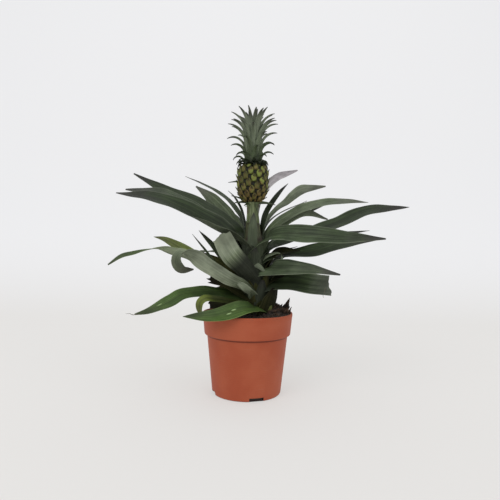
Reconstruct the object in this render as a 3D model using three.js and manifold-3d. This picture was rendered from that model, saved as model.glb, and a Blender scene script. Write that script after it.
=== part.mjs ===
// Potted pineapple plant: nursery pot, soil, stem, rosette leaves, peduncle, fruit and crown.
// Millimetres, +Z up. The origin is the centre of the pot's underside.

import * as THREE from 'three';
import { mergeVertices } from 'three/addons/utils/BufferGeometryUtils.js';
import Module from 'manifold-3d';

const wasm = await Module();
wasm.setup();

// ---- Driving dimensions -------------------------------------------------------------------------

const GAP = 0.3; // clearance between touching pieces
const FUSE = 0.02; // corners closer than this are joined after a cut, so no sliver is left
const GOLDEN_ANGLE = 137.508; // degrees from each leaf, eye or bract to the next

const POT = {
  rimR: 60, height: 107, rimWall: 2.2,
  collarR: 57.5, collarZ: 79, // lower edge of the collar
  bodyTopR: 53.8, bodyTopZ: 77,
  baseR: 45.6, corner: 3, wall: 1.8, floor: 2.4,
  notchWidth: 19, notchHeight: 4.4, notchDepth: 7, notchTurn: 17, notches: 4,
  sides: 40,
};

// The soil's skin runs up from its rounded underside at a small clearance from the pot's wall.
const SOIL = {
  topZ: 103, mound: 6.5, moundX: 26, moundSpread: 26, dip: 3.5, relief: 0.7, sides: 30, rings: 5,
  wallGap: 0.5, collarGap: 0.8, edgeGap: 0.9, bevel: 3, bevelIn: 4,
};
const CHIPS = { count: 14, length: 10, width: 5, thick: 2.2, nearR: 20, spreadR: 25, midX: 4, rise: 0.4 };

// The plant stands right of the pot's middle and leans back over it as it rises.
const LEAN = { topX: 2.4, offset: 14.5, startZ: 110, fade: 60 };

// The foot stands in the soil; above soilZ the stem widens over flare and narrows over neck.
const STEM = {
  footZ: 62, topZ: 226, footR: 12.5, bodyR: 15, neckR: 9.5,
  soilZ: 111, flare: 14, neck: 40, ridge: 1.3, ridgePitch: 15, sides: 14, rows: 16,
};
const PEDUNCLE = {
  topZ: 254, r: 7.6, baseR: 8.8, collar: 0.8, ridge: 0.7, sides: 12, rows: 6,
  bractR: 4, bractWidth: 3.2, bractThick: 1.3, bractBend: -17,
};
// Bracts under the fruit: turn = compass angle, rise = slope at the root, both in degrees.
const BRACTS = [
  { turn: 0, length: 27, z: 250, rise: 8 }, { turn: 180, length: 23, z: 250.5, rise: 10 },
  { turn: -50, length: 13, z: 248, rise: -40 }, { turn: 62, length: 18, z: 249, rise: 8 },
  { turn: 118, length: 18, z: 248, rise: 10 }, { turn: 235, length: 14, z: 249, rise: 12 },
  { turn: 300, length: 9, z: 250, rise: 8 },
];

// The fruit's eyes sit on a spiral lattice: the neighbours of an eye are 8 and 13 steps away.
// Each eye rises from its corners over a shoulder and a top to one pointed tip.
const FRUIT = {
  bottomZ: 254.3, height: 48.6, r: 18.6, endR: 8, eyes: 84, near: 8, far: 13, squareness: 3.4,
  trim: 0.06, endFlat: 0.4, shoulderIn: 0.2, shoulderLift: 2.2, topIn: 0.62, topLift: 2.75,
  tipLift: 4.2, tipRise: 1, tilt: 0.35,
};

// The lists run from the lowest blade of the crown to the highest.
const CROWN = {
  bottomZ: 303.2, height: 53, r: 10.5, tipR: 5.5, footShare: 0.75, sides: 10, margin: 1.5, sunk: 3.5,
  blades: 70, firstTurn: 40, bladeWidth: 7, bladeThick: 1.6, lengthSpread: 0.3, curlSpread: 24,
  lengths: [19, 27, 35, 36, 32, 26],
  rises: [38, 52, 61, 67, 72, 79],
  curls: [-40, -30, -8, 12, 38, 62],
  widths: [0.7, 0.95, 1, 1, 1, 0.9],
};

// A leaf blade: thicknesses of its middle and edge, how much it thins to the tip, the width of its
// tip, and the outline's share of width at the root and place of greatest width.
const BLADE = {
  middle: 1.7, edge: 0.8, thinning: 0.45, tipWidth: 1.4, rootShare: 0.62, widest: 0.42,
  gutter: 0.14, gutterFade: 0.5, gutterPower: 1.6, steps: 8, rootDepth: 7, narrow: 10,
};

const COLOUR = {
  pot: 0x9e533c, soil: 0x2b211b, stem: 0x5d6b3a, peduncle: 0x7d8a52, fruit: 0x7a7238, crown: 0x5f7360,
  dark: 0x45583f, grey: 0x7c8a7a, fresh: 0x557a3a,
};

// Each leaf: turn = compass angle at root and tip (0 = right, 180 = left, 270 = front),
// arc = [reach from the stem's axis, height] from root to tip, width = widest, roll = turn about
// its own length at even steps from root to tip (plus lifts the right edge, seen from the stem).
// Where they are given, gutter = channel depth over width, widths replaces the tapered outline,
// and tear replaces the pointed tip by a ragged end.
const LEAVES = {
  // left, upper
  left_high: {
    turn: [152, 168], arc: [[12, 206], [48, 232], [88, 255], [132, 277], [176, 296]],
    widths: [16, 23, 26, 14, 2], roll: [35, 58, 52],
  },
  left_long: {
    turn: [215, 197], arc: [[14, 198], [54, 214], [94, 235], [132, 251], [178, 257]],
    widths: [15, 27, 31, 21, 2], roll: [24, 40, 40], gutter: 0.2,
  },
  left_under_long: {
    turn: [181, 177], arc: [[12, 188], [50, 229], [93, 253], [133, 265], [177, 269]],
    widths: [7, 8, 14, 15, 2], roll: [10, 40],
  },
  left_back_narrow: {
    turn: [130, 140], arc: [[9, 214], [26, 237], [53, 262], [92, 283], [138, 302]], width: 9,
    roll: [10, 10],
  },
  left_back_wide: {
    turn: [135, 155], arc: [[12, 204], [39, 229], [62, 253], [76, 267], [92, 280]],
    widths: [9, 20, 25, 20, 2], roll: [50, 60], colour: 'grey',
  },
  left_stalk: {
    turn: [160, 170], arc: [[9, 222], [18, 247], [27, 262], [35, 270]], width: 6, roll: [20, 20],
  },
  left_spike_low: {
    turn: [215, 215], arc: [[16, 148], [57, 166], [79, 189], [97, 208]], width: 5.5,
    roll: [20, 20],
  },
  left_spike_high: {
    turn: [200, 200], arc: [[14, 163], [42, 176], [61, 197], [78, 214]], width: 9, roll: [35, 35],
  },
  // left, lower
  left_hooked: {
    turn: [238, 216],
    arc: [[15, 138], [72, 163], [112, 181], [135, 186], [142, 181], [138, 173], [125, 165], [109, 161], [94, 163]],
    widths: [14, 26, 29, 26, 12, 9, 10, 7, 2], roll: [-30, -50, -50, -35, -30], colour: 'grey',
  },
  left_yellow: {
    turn: [149, 155], arc: [[14, 152], [73, 176], [120, 197], [170, 207]], width: 15,
    roll: [30, 45], colour: 'fresh',
  },
  left_twisted: {
    turn: [190, 184], arc: [[13, 146], [61, 172], [106, 186], [140, 188], [175, 180], [196, 167]],
    widths: [9, 12, 12, 7, 9, 2], roll: [-35, -45, -45, 0, 35, 35],
  },
  left_green: {
    turn: [196, 200], arc: [[16, 128], [57, 132], [92, 133], [126, 125], [159, 111]], width: 22,
    roll: [40, 50, 50], colour: 'fresh',
  },
  left_curl: {
    turn: [229, 213], arc: [[15, 119], [66, 137], [92, 138], [97, 124], [80, 111]], width: 9,
    roll: [20, 20], colour: 'fresh',
  },
  left_over_rim: {
    turn: [265, 210], arc: [[14, 114], [57, 118], [81, 110], [110, 107]], width: 21,
    roll: [35, 45], colour: 'fresh',
  },
  left_shade: {
    turn: [157, 163], arc: [[14, 134], [40, 144], [68, 152]], widths: [9, 20, 3], roll: [40, 60],
  },
  left_shade_low: {
    turn: [148, 142], arc: [[14, 122], [42, 136], [72, 134]], widths: [12, 20, 3], roll: [40, 40],
  },
  // right, upper
  back_pale: {
    turn: [84, 58], arc: [[10, 213], [30, 261], [79, 298], [132, 319]], widths: [8, 12, 14, 2],
    roll: [0, 0], colour: 'grey',
  },
  right_spear: {
    turn: [20, 25], arc: [[9, 215], [29, 247], [53, 284]], width: 8, roll: [-40, -40],
  },
  right_bent: {
    turn: [64, 38], arc: [[11, 211], [43, 240], [76, 275], [141, 291]], widths: [8, 15, 23, 2],
    roll: [-20, -50], colour: 'grey',
  },
  right_thin: { turn: [38, 27], arc: [[11, 213], [37, 238], [86, 262]], width: 5, roll: [0, 0] },
  right_arched: {
    turn: [18, 12], arc: [[10, 203], [40, 231], [82, 253], [126, 261], [167, 261]], width: 17,
    roll: [-30, -50], colour: 'grey',
  },
  right_short: {
    turn: [30, 20], arc: [[10, 196], [47, 228], [79, 244], [113, 236]], width: 11,
    roll: [-20, -30],
  },
  right_sliver: { turn: [38, 30], arc: [[12, 196], [62, 231], [130, 263]], width: 5, roll: [0, 0] },
  right_long: {
    turn: [-10, 3], arc: [[11, 190], [55, 207], [108, 226], [150, 245], [213, 253]], width: 23,
    roll: [-30, -55],
  },
  // right, lower
  right_front: {
    turn: [300, 333], arc: [[13, 197], [43, 211], [90, 211], [131, 207], [173, 206]],
    widths: [16, 26, 26, 16, 2], roll: [-40, -65, -60],
  },
  right_small: {
    turn: [0, 5], arc: [[10, 186], [62, 201], [110, 211], [160, 220]], width: 7, roll: [-20, -20],
  },
  right_dark: {
    turn: [346, 346], arc: [[12, 180], [42, 184], [82, 190], [120, 201], [162, 207]],
    widths: [14, 18, 24, 17, 2], roll: [-20, -60],
  },
  right_low: {
    turn: [312, 322], arc: [[14, 166], [48, 169], [88, 169], [126, 163]], width: 21,
    roll: [-50, -62],
  },
  right_broken: {
    turn: [345, 338], arc: [[15, 140.5], [47, 148], [80, 146], [99, 146]],
    widths: [14, 22, 23, 22], roll: [-50, -65], tear: [0, 2, 5, 3, 4],
  },
  // front
  front_torn: {
    turn: [260, 228], arc: [[14, 150], [36, 164], [56, 183], [64, 206]], widths: [14, 26, 30, 27],
    roll: [0, 0], tear: [-3, 2, 5, -1, 2], gutter: 0.2, colour: 'grey',
  },
  front_stalk: {
    turn: [262, 268], arc: [[11, 196], [14, 216], [11, 240]], width: 12, roll: [0, 0],
  },
  front_sheath: {
    turn: [266, 266], arc: [[14, 161], [17, 178], [20, 194]], widths: [11, 20, 4], roll: [0, 0],
    gutter: 0.3,
  },
  right_sheath: {
    turn: [283, 283], arc: [[15, 124], [19, 138], [22, 151]], widths: [12, 19, 4], roll: [0, 0],
    gutter: 0.3,
  },
  // far side
  back_1: {
    turn: [120, 122], arc: [[12, 198], [60, 234], [105, 254], [150, 262]], width: 20,
    roll: [10, 10],
  },
  back_2: {
    turn: [72, 70], arc: [[12, 186], [60, 212], [105, 220], [150, 216]], width: 22, roll: [0, 0],
  },
  back_3: {
    turn: [48, 45], arc: [[12, 183], [60, 208], [110, 219], [160, 219]], width: 20, roll: [0, 0],
  },
  back_4: {
    turn: [98, 95], arc: [[12, 172], [55, 198], [100, 208], [150, 204]], width: 22, roll: [0, 0],
  },
  back_5: {
    turn: [135, 135], arc: [[14, 163], [60, 182], [105, 186], [150, 176]], width: 21, roll: [0, 0],
  },
  back_6: {
    turn: [30, 30], arc: [[14, 164], [55, 184], [90, 191], [120, 190]], width: 18, roll: [0, 0],
  },
  back_7: {
    turn: [60, 60], arc: [[14, 150], [50, 170], [90, 174], [125, 165]], width: 20, roll: [0, 0],
  },
  back_8: {
    turn: [108, 105], arc: [[14, 146], [50, 164], [85, 168], [115, 158]], width: 20, roll: [0, 0],
  },
  back_9: {
    turn: [82, 80], arc: [[14, 128], [50, 146], [85, 150], [112, 142]], width: 18, roll: [0, 0],
  },
};

// ---- Small tools --------------------------------------------------------------------------------

function seeded(seed) {
  let state = seed;
  return () => {
    state = (state * 1664525 + 1013904223) % 4294967296;
    return state / 4294967296;
  };
}

const radians = THREE.MathUtils.degToRad;
const leanX = (z) => LEAN.topX + LEAN.offset * Math.exp(-Math.max(z - LEAN.startZ, 0) / LEAN.fade);

// A value from a short list spread evenly over 0..1.
function along(list, t) {
  const at = THREE.MathUtils.clamp(t, 0, 1) * (list.length - 1);
  const i = Math.min(Math.floor(at), list.length - 2);
  return THREE.MathUtils.lerp(list[i], list[i + 1], at - i);
}

function solidFromArrays(points, triangles) {
  const geometry = new THREE.BufferGeometry();
  const numbers = points.flatMap((p) => [p.x, p.y, p.z]);
  geometry.setAttribute('position', new THREE.Float32BufferAttribute(numbers, 3));
  geometry.setIndex(triangles.flat());
  return solidFromGeometry(geometry);
}

function solidFromGeometry(geometry) {
  const bare = geometry.clone();
  bare.deleteAttribute('normal');
  bare.deleteAttribute('uv');
  const merged = mergeVertices(bare, 1e-4);
  return new wasm.Manifold(new wasm.Mesh({
    numProp: 3,
    vertProperties: new Float32Array(merged.attributes.position.array),
    triVerts: new Uint32Array(merged.index.array),
  }));
}

function average(list) {
  return list.reduce((sum, p) => sum.add(p), new THREE.Vector3()).divideScalar(list.length);
}

// Rings of equal point counts joined into a closed skin, with a fan over each end.
function skin(rings) {
  const n = rings[0].length;
  const points = rings.flat();
  const triangles = [];
  for (let i = 0; i < rings.length - 1; i += 1) {
    for (let j = 0; j < n; j += 1) {
      const a = i * n + j;
      const b = i * n + ((j + 1) % n);
      triangles.push([a, b, b + n], [a, b + n, a + n]);
    }
  }
  const capAt = (start, flip) => {
    if (n === 3) {
      triangles.push(flip ? [start, start + 2, start + 1] : [start, start + 1, start + 2]);
      return;
    }
    points.push(average(points.slice(start, start + n)));
    const c = points.length - 1;
    for (let j = 0; j < n; j += 1) {
      const a = start + j;
      const b = start + ((j + 1) % n);
      triangles.push(flip ? [a, c, b] : [a, b, c]);
    }
  };
  capAt(0, true);
  capAt((rings.length - 1) * n, false);
  return solidFromArrays(points, triangles);
}

function ring(z, sides, radiusAt, centreX = 0) {
  return Array.from({ length: sides }, (_, j) => {
    const angle = (2 * Math.PI * j) / sides;
    const r = radiusAt(angle);
    return new THREE.Vector3(centreX + r * Math.cos(angle), r * Math.sin(angle), z);
  });
}

// ---- Pot ----------------------------------------------------------------------------------------

function potSolid() {
  const p = POT;
  const c = p.corner;
  const arc = (k) => new THREE.Vector2(
    p.baseR - c + c * Math.sin(radians(30 * k)),
    c - c * Math.cos(radians(30 * k)),
  );
  const profile = [
    new THREE.Vector2(0, 0), arc(0), arc(1), arc(2), arc(3),
    new THREE.Vector2(p.bodyTopR, p.bodyTopZ),
    new THREE.Vector2(p.collarR, p.collarZ),
    new THREE.Vector2(p.rimR, p.height - 1),
    new THREE.Vector2(p.rimR - 0.7, p.height),
    new THREE.Vector2(p.rimR - p.rimWall, p.height),
    new THREE.Vector2(p.collarR - p.rimWall, p.collarZ + 1.5),
    new THREE.Vector2(p.bodyTopR - p.wall, p.bodyTopZ - 2),
    new THREE.Vector2(p.baseR - p.wall, p.floor + c),
    new THREE.Vector2(p.baseR - p.wall - c, p.floor),
    new THREE.Vector2(0, p.floor),
  ];
  const shell = new THREE.LatheGeometry(profile, p.sides);
  shell.rotateX(Math.PI / 2);
  let solid = solidFromGeometry(shell);
  for (let k = 0; k < p.notches; k += 1) {
    const notch = new THREE.BoxGeometry(p.notchDepth, p.notchWidth, p.notchHeight * 2);
    notch.translate(p.baseR, 0, 0);
    notch.rotateZ(radians(-90 + p.notchTurn + (360 / p.notches) * k));
    solid = solid.subtract(solidFromGeometry(notch));
  }
  return solid;
}

// ---- Soil ---------------------------------------------------------------------------------------

const insideR = (z) => {
  const p = POT;
  if (z > p.bodyTopZ) {
    return p.collarR - p.rimWall + ((p.rimR - p.collarR) * (z - p.collarZ)) / (p.height - p.collarZ);
  }
  return p.baseR - p.wall + ((p.bodyTopR - p.baseR) * (z - p.corner)) / (p.bodyTopZ - p.corner);
};

const soilHeight = (x, y) => {
  const s = SOIL;
  const mound = s.mound * Math.exp(-((x - s.moundX) ** 2 + y ** 2) / s.moundSpread ** 2);
  const dip = x < 0 ? s.dip * (x / POT.rimR) ** 2 : 0;
  const ripple = Math.sin(0.31 * x + 1.1) * Math.cos(0.27 * y) + 0.6 * Math.sin(0.55 * x - 0.48 * y);
  return s.topZ + mound - dip + s.relief * ripple;
};

function soilSolid() {
  const s = SOIL;
  const lowZ = POT.floor + GAP + s.bevel;
  const highZ = POT.bodyTopZ - s.bevel;
  const walls = [
    { z: POT.floor + GAP, r: insideR(lowZ) - s.bevelIn },
    { z: lowZ, r: insideR(lowZ) - s.wallGap },
    { z: highZ, r: insideR(highZ) - s.wallGap },
    { z: POT.collarZ, r: insideR(POT.bodyTopZ) - s.collarGap },
  ];
  const rings = walls.map(({ z, r }) => ring(z, s.sides, () => r));
  const edgeR = insideR(s.topZ - s.dip) - s.edgeGap;
  for (let k = 0; k < s.rings; k += 1) {
    const r = edgeR * (1 - k / s.rings);
    rings.push(ring(0, s.sides, () => r).map((p) => p.setZ(soilHeight(p.x, p.y))));
  }
  let solid = skin(rings);
  const random = seeded(11);
  for (let k = 0; k < CHIPS.count; k += 1) {
    const angle = radians(GOLDEN_ANGLE * k + 20);
    const r = CHIPS.nearR + CHIPS.spreadR * Math.sqrt(random());
    const x = CHIPS.midX + r * Math.cos(angle);
    const y = r * Math.sin(angle);
    const long = CHIPS.length * (0.6 + 0.6 * random());
    const chip = new THREE.BoxGeometry(long, CHIPS.width, CHIPS.thick);
    chip.rotateX(0.5 * (random() - 0.5));
    chip.rotateY(-0.2 - random() * (k % 3 === 0 ? 1 : 0.35)); // every third chip stands up steeply
    chip.rotateZ(random() * Math.PI * 2);
    chip.translate(x, y, soilHeight(x, y) + CHIPS.rise);
    solid = solid.add(solidFromGeometry(chip));
  }
  return solid.subtract(stemHole()).simplify(FUSE);
}

// ---- Stem and peduncle --------------------------------------------------------------------------

// Overlapping leaf bases show on the stem as a helical saw-tooth of low ridges.
function stemRadius(z, angle) {
  const s = STEM;
  if (z <= s.soilZ) return s.footR;
  const rise = THREE.MathUtils.smoothstep(z, s.soilZ, s.soilZ + s.flare);
  const neck = THREE.MathUtils.smoothstep(z, s.topZ - s.neck, s.topZ);
  const body = THREE.MathUtils.lerp(s.footR, s.bodyR, rise);
  const base = THREE.MathUtils.lerp(body, s.neckR, neck);
  const phase = (z / s.ridgePitch + angle / (2 * Math.PI)) % 1;
  return base + s.ridge * rise * (1 - neck) * phase;
}

function stemRings(extra) {
  const s = STEM;
  const rings = [];
  for (let k = 0; k <= s.rows; k += 1) {
    const z = s.soilZ + ((s.topZ - s.soilZ) * k) / s.rows;
    rings.push(ring(z, s.sides, (angle) => stemRadius(z, angle) + extra, leanX(z)));
  }
  return rings;
}

// The hole in the soil that the stem's foot stands in, open upwards.
function stemHole() {
  const circle = (z) => ring(z, STEM.sides, () => STEM.footR + GAP, leanX(0));
  return skin([circle(STEM.footZ - GAP), circle(STEM.soilZ + SOIL.mound)]);
}

function stemSolid() {
  const foot = ring(STEM.footZ, STEM.sides, () => STEM.footR, leanX(0));
  return skin([foot, ...stemRings(0)]);
}

// A narrow pointed bract: a bent three-sided spike from start, out along a compass angle. Its
// slope turns from rise at the root to curl at the tip. Angles are in degrees.
function spike({ start, turn, length, width, thick, rise, curl }) {
  const out = new THREE.Vector3(Math.cos(radians(turn)), Math.sin(radians(turn)), 0);
  const side = new THREE.Vector3(-out.y, out.x, 0);
  const inSlope = (degrees, along) => out.clone()
    .multiplyScalar(along * Math.cos(radians(degrees)))
    .setZ(along * Math.sin(radians(degrees)));
  const rings = [0, 0.35, 0.7, 1].map((t) => {
    const slope = THREE.MathUtils.lerp(rise, curl, t);
    const middle = start.clone().add(inSlope((rise + slope) / 2, length * t));
    const normal = inSlope(slope + 90, 1);
    const half = (width / 2) * (1 - 0.85 * t ** 1.5);
    const deep = thick * (1 - 0.55 * t);
    return [
      middle.clone().addScaledVector(side, half).addScaledVector(normal, deep * 0.4),
      middle.clone().addScaledVector(side, -half).addScaledVector(normal, deep * 0.4),
      middle.clone().addScaledVector(normal, -deep * 0.6),
    ];
  });
  return skin(rings);
}

// A point at a radius and compass angle (degrees) from the leaning axis.
const aroundAxis = (r, turn, z) => new THREE.Vector3(
  leanX(z) + r * Math.cos(radians(turn)),
  r * Math.sin(radians(turn)),
  z,
);

function peduncleSolid() {
  const p = PEDUNCLE;
  const lowZ = STEM.topZ + GAP;
  const rings = [];
  for (let k = 0; k <= p.rows; k += 1) {
    const z = lowZ + ((p.topZ - lowZ) * k) / p.rows;
    const collar = k >= p.rows - 1 ? p.collar : 0;
    const r = THREE.MathUtils.lerp(p.baseR, p.r, Math.min(1, (2 * k) / p.rows)) + collar;
    rings.push(ring(z, p.sides, (angle) => r + p.ridge * Math.cos(4 * angle + k), leanX(z)));
  }
  const bracts = BRACTS.map(({ turn, length, z, rise }) => spike({
    start: aroundAxis(p.bractR, turn, z),
    turn,
    length,
    width: p.bractWidth,
    thick: p.bractThick,
    rise,
    curl: rise + p.bractBend,
  }));
  return wasm.Manifold.union([skin(rings), ...bracts]).simplify(FUSE);
}

// ---- Fruit --------------------------------------------------------------------------------------

function fruitSolid() {
  const f = FRUIT;
  const middleZ = f.bottomZ + f.height / 2;
  const centreX = leanX(middleZ);
  const count = f.near + f.far;
  const last = f.eyes + count;
  // The barrel's outline as radius and height, walked from its lower (0) to its upper end (1).
  const outline = (share) => {
    const angle = Math.PI * (share - 0.5);
    const across = Math.cos(angle) ** (2 / f.squareness);
    const upward = Math.sign(angle) * Math.abs(Math.sin(angle)) ** (2 / f.squareness);
    return { r: f.endR + (f.r - f.endR) * across, z: (f.height / 2 - f.endFlat) * upward };
  };
  const points = Array.from({ length: last }, (_, k) => {
    const turn = radians(GOLDEN_ANGLE * k);
    const at = outline(THREE.MathUtils.lerp(f.trim, 1 - f.trim, k / last));
    return new THREE.Vector3(centreX + at.r * Math.cos(turn), at.r * Math.sin(turn), middleZ + at.z);
  });
  const triangles = [];
  const quad = (a, b, c, d) => triangles.push([a, b, c], [a, c, d]);
  for (let k = 0; k < f.eyes; k += 1) {
    const corners = [k, k + f.near, k + count, k + f.far];
    const middle = average(corners.map((i) => points[i]));
    const out = new THREE.Vector3(middle.x - centreX, middle.y, f.tilt * (middle.z - middleZ)).normalize();
    const inset = (share, lift) => corners.map((i) => {
      points.push(points[i].clone().lerp(middle, share).addScaledVector(out, lift));
      return points.length - 1;
    });
    const shoulder = inset(f.shoulderIn, f.shoulderLift);
    const top = inset(f.topIn, f.topLift);
    const tip = points.length;
    points.push(middle.clone().addScaledVector(out, f.tipLift).add(new THREE.Vector3(0, 0, f.tipRise)));
    for (let j = 0; j < corners.length; j += 1) {
      const n = (j + 1) % corners.length;
      quad(corners[j], corners[n], shoulder[n], shoulder[j]);
      quad(shoulder[j], shoulder[n], top[n], top[j]);
      triangles.push([top[j], top[n], tip]);
    }
  }
  // Both ends close with a fan round the zigzag edge of the lattice.
  const close = (first, z, flip) => {
    points.push(new THREE.Vector3(centreX, 0, z));
    const centre = points.length - 1;
    for (let i = 0; i < count; i += 1) {
      const a = first + i;
      const b = first + (i < f.far ? i + f.near : i - f.far);
      triangles.push(flip ? [centre, b, a] : [centre, a, b]);
    }
  };
  close(0, f.bottomZ, true);
  close(f.eyes, f.bottomZ + f.height, false);
  return solidFromArrays(points, triangles);
}

// ---- Crown --------------------------------------------------------------------------------------

function crownSolid() {
  const c = CROWN;
  const coreR = (t) => THREE.MathUtils.lerp(c.r, c.tipR, t * t);
  const rings = [0, 0.1, 0.5, 0.8, 1].map((t) => {
    const z = c.bottomZ + c.height * t;
    return ring(z, c.sides, () => coreR(t) * (t === 0 ? c.footShare : 1), leanX(z));
  });
  const pieces = [skin(rings)];
  const random = seeded(23);
  for (let k = 0; k < c.blades; k += 1) {
    const t = (k + 0.5) / c.blades;
    const z = c.bottomZ + c.margin + (c.height - 2 * c.margin) * t;
    const turn = GOLDEN_ANGLE * k + c.firstTurn;
    pieces.push(spike({
      start: aroundAxis(coreR(t) - c.sunk, turn, z - 1),
      turn,
      length: along(c.lengths, t) * (1 + c.lengthSpread * (random() - 0.5)),
      width: c.bladeWidth * along(c.widths, t),
      thick: c.bladeThick,
      rise: along(c.rises, t),
      curl: along(c.curls, t) + c.curlSpread * (random() - 0.5),
    }));
  }
  return wasm.Manifold.union(pieces).simplify(FUSE);
}

// ---- Leaves -------------------------------------------------------------------------------------

// The outline of an undamaged blade: narrower at the clasping root, widest past a third, pointed.
function taper(t) {
  const b = BLADE;
  const root = b.rootShare + (1 - b.rootShare) * Math.sin((Math.PI / 2) * Math.min(1, t / b.widest));
  if (t < b.widest) return root;
  const toTip = ((t - b.widest) / (1 - b.widest)) ** 1.25;
  return root * Math.cos((Math.PI / 2) * toTip) ** 0.85;
}

// The leaf's middle line, with one more knot that reaches back inside the stem.
function leafSpine(leaf) {
  const rootX = leanX(leaf.arc[0][1]);
  const knots = leaf.arc.map(([reach, z], i) => {
    const turn = radians(along(leaf.turn, i / (leaf.arc.length - 1)));
    return new THREE.Vector3(rootX + reach * Math.cos(turn), reach * Math.sin(turn), z);
  });
  const back = knots[0].clone().sub(knots[1]).setLength(BLADE.rootDepth);
  return new THREE.CatmullRomCurve3([knots[0].clone().add(back), ...knots], false, 'centripetal');
}

function leafSolid(leaf) {
  const b = BLADE;
  const spine = leafSpine(leaf);
  const widest = leaf.width ?? Math.max(...leaf.widths);
  const across = widest > b.narrow ? 4 : 2;
  const steps = Math.max(b.steps, leaf.arc.length + 4);
  const points = [];
  for (let i = 0; i <= steps; i += 1) {
    const t = i / steps;
    const centre = spine.getPointAt(t);
    const tangent = spine.getTangentAt(t);
    const turn = radians(along(leaf.turn, t));
    const flat = new THREE.Vector3(Math.sin(turn), -Math.cos(turn), 0);
    flat.addScaledVector(tangent, -flat.dot(tangent)).normalize();
    const roll = radians(along(leaf.roll, t));
    const side = flat.clone().applyAxisAngle(tangent, -roll);
    const up = new THREE.Vector3().crossVectors(side, tangent);
    const outline = leaf.widths ? along(leaf.widths, t) : leaf.width * taper(t);
    const width = Math.max(b.tipWidth, outline);
    const channel = (leaf.gutter ?? b.gutter) * width * (1 - b.gutterFade * t);
    for (const face of [1, -1]) {
      for (let j = 0; j <= across; j += 1) {
        const s = (2 * j) / across - 1;
        const full = b.edge + (b.middle - b.edge) * (1 - s * s);
        const thick = Math.max(b.edge, full * (1 - b.thinning * t));
        const point = centre.clone()
          .addScaledVector(side, (s * width) / 2)
          .addScaledVector(up, channel * Math.abs(s) ** b.gutterPower + (face * thick) / 2);
        if (leaf.tear && i === steps) point.addScaledVector(tangent, along(leaf.tear, (s + 1) / 2));
        points.push(point);
      }
    }
  }
  const n = across + 1;
  const upper = (i, j) => i * 2 * n + j;
  const lower = (i, j) => i * 2 * n + n + j;
  const triangles = [];
  const quad = (a, b, c, d) => triangles.push([a, b, c], [a, c, d]);
  for (let i = 0; i < steps; i += 1) {
    for (let j = 0; j < across; j += 1) {
      quad(upper(i, j), upper(i, j + 1), upper(i + 1, j + 1), upper(i + 1, j));
      triangles.push([lower(i, j), lower(i + 1, j + 1), lower(i, j + 1)]);
      triangles.push([lower(i, j), lower(i + 1, j), lower(i + 1, j + 1)]);
    }
    quad(upper(i, across), lower(i, across), lower(i + 1, across), upper(i + 1, across));
    quad(lower(i, 0), upper(i, 0), upper(i + 1, 0), lower(i + 1, 0));
  }
  for (let j = 0; j < across; j += 1) {
    quad(lower(0, j), lower(0, j + 1), upper(0, j + 1), upper(0, j));
    quad(upper(steps, j), upper(steps, j + 1), lower(steps, j + 1), lower(steps, j));
  }
  return solidFromArrays(points, triangles);
}

function largestBody(solid) {
  return solid.decompose().sort((a, b) => b.volume() - a.volume())[0].simplify(FUSE);
}

// ---- Assembly -----------------------------------------------------------------------------------

const plant = new THREE.Group();
plant.name = 'potted_pineapple_plant';

function place(name, solid, colour, roughness = 0.6) {
  const mesh = solid.getMesh();
  const geometry = new THREE.BufferGeometry();
  geometry.setAttribute('position', new THREE.BufferAttribute(mesh.vertProperties, 3));
  geometry.setIndex(new THREE.BufferAttribute(mesh.triVerts, 1));
  geometry.computeVertexNormals();
  const material = new THREE.MeshStandardMaterial({ color: colour, roughness, metalness: 0 });
  const piece = new THREE.Mesh(geometry, material);
  piece.name = name;
  plant.add(piece);
}

place('pot', potSolid(), COLOUR.pot, 0.55);
place('soil', soilSolid(), COLOUR.soil, 0.95);
place('stem', stemSolid(), COLOUR.stem);
place('peduncle', peduncleSolid(), COLOUR.peduncle);
place('fruit', fruitSolid(), COLOUR.fruit);
place('crown', crownSolid(), COLOUR.crown);

const stemCutter = skin(stemRings(GAP));
for (const [name, leaf] of Object.entries(LEAVES)) {
  place(`leaf_${name}`, largestBody(leafSolid(leaf).subtract(stemCutter)), COLOUR[leaf.colour ?? 'dark']);
}

export default plant;
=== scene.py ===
"""Potted pineapple plant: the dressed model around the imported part.

The tables give millimetres and degrees; every mesh is in metres, in the part's own frame.
"""

import logging
import math
from dataclasses import dataclass, replace
from enum import Enum
from typing import Any, Callable, Mapping, Optional, Sequence, Union

import bpy
import numpy as np
from mathutils import Matrix


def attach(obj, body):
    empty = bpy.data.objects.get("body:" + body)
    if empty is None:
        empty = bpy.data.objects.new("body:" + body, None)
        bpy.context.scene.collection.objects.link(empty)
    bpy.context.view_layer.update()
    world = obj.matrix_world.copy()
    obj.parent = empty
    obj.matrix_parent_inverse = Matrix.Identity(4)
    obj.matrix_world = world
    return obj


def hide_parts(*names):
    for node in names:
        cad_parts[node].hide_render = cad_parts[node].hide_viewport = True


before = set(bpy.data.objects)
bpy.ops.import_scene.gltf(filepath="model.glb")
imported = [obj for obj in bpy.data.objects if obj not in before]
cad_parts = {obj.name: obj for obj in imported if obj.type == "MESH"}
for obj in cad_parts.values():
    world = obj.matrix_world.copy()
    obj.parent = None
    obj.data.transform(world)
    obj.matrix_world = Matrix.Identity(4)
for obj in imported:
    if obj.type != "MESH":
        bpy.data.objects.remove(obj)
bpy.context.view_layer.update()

log = logging.getLogger("pineapple")

MM = 0.001
BODY = "root"
# Degrees from one leaf of a spiral to the next, and the sharpest edge that is still shaded smooth.
GOLDEN_ANGLE = 137.508
SHARP = 40.0
# Corners closer than this many metres are one, and leaves start this many millimetres inside.
WELD = 0.00002
ROOT_DEPTH = 7.0
UP = np.array((0.0, 0.0, 1.0))

Rgb = tuple[int, int, int]
Value = Union["Socket", float, int, tuple, bpy.types.ID]
Key = Union[int, str]
Numbers = Union[float, np.ndarray]
Triple = tuple[float, float, float]


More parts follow.
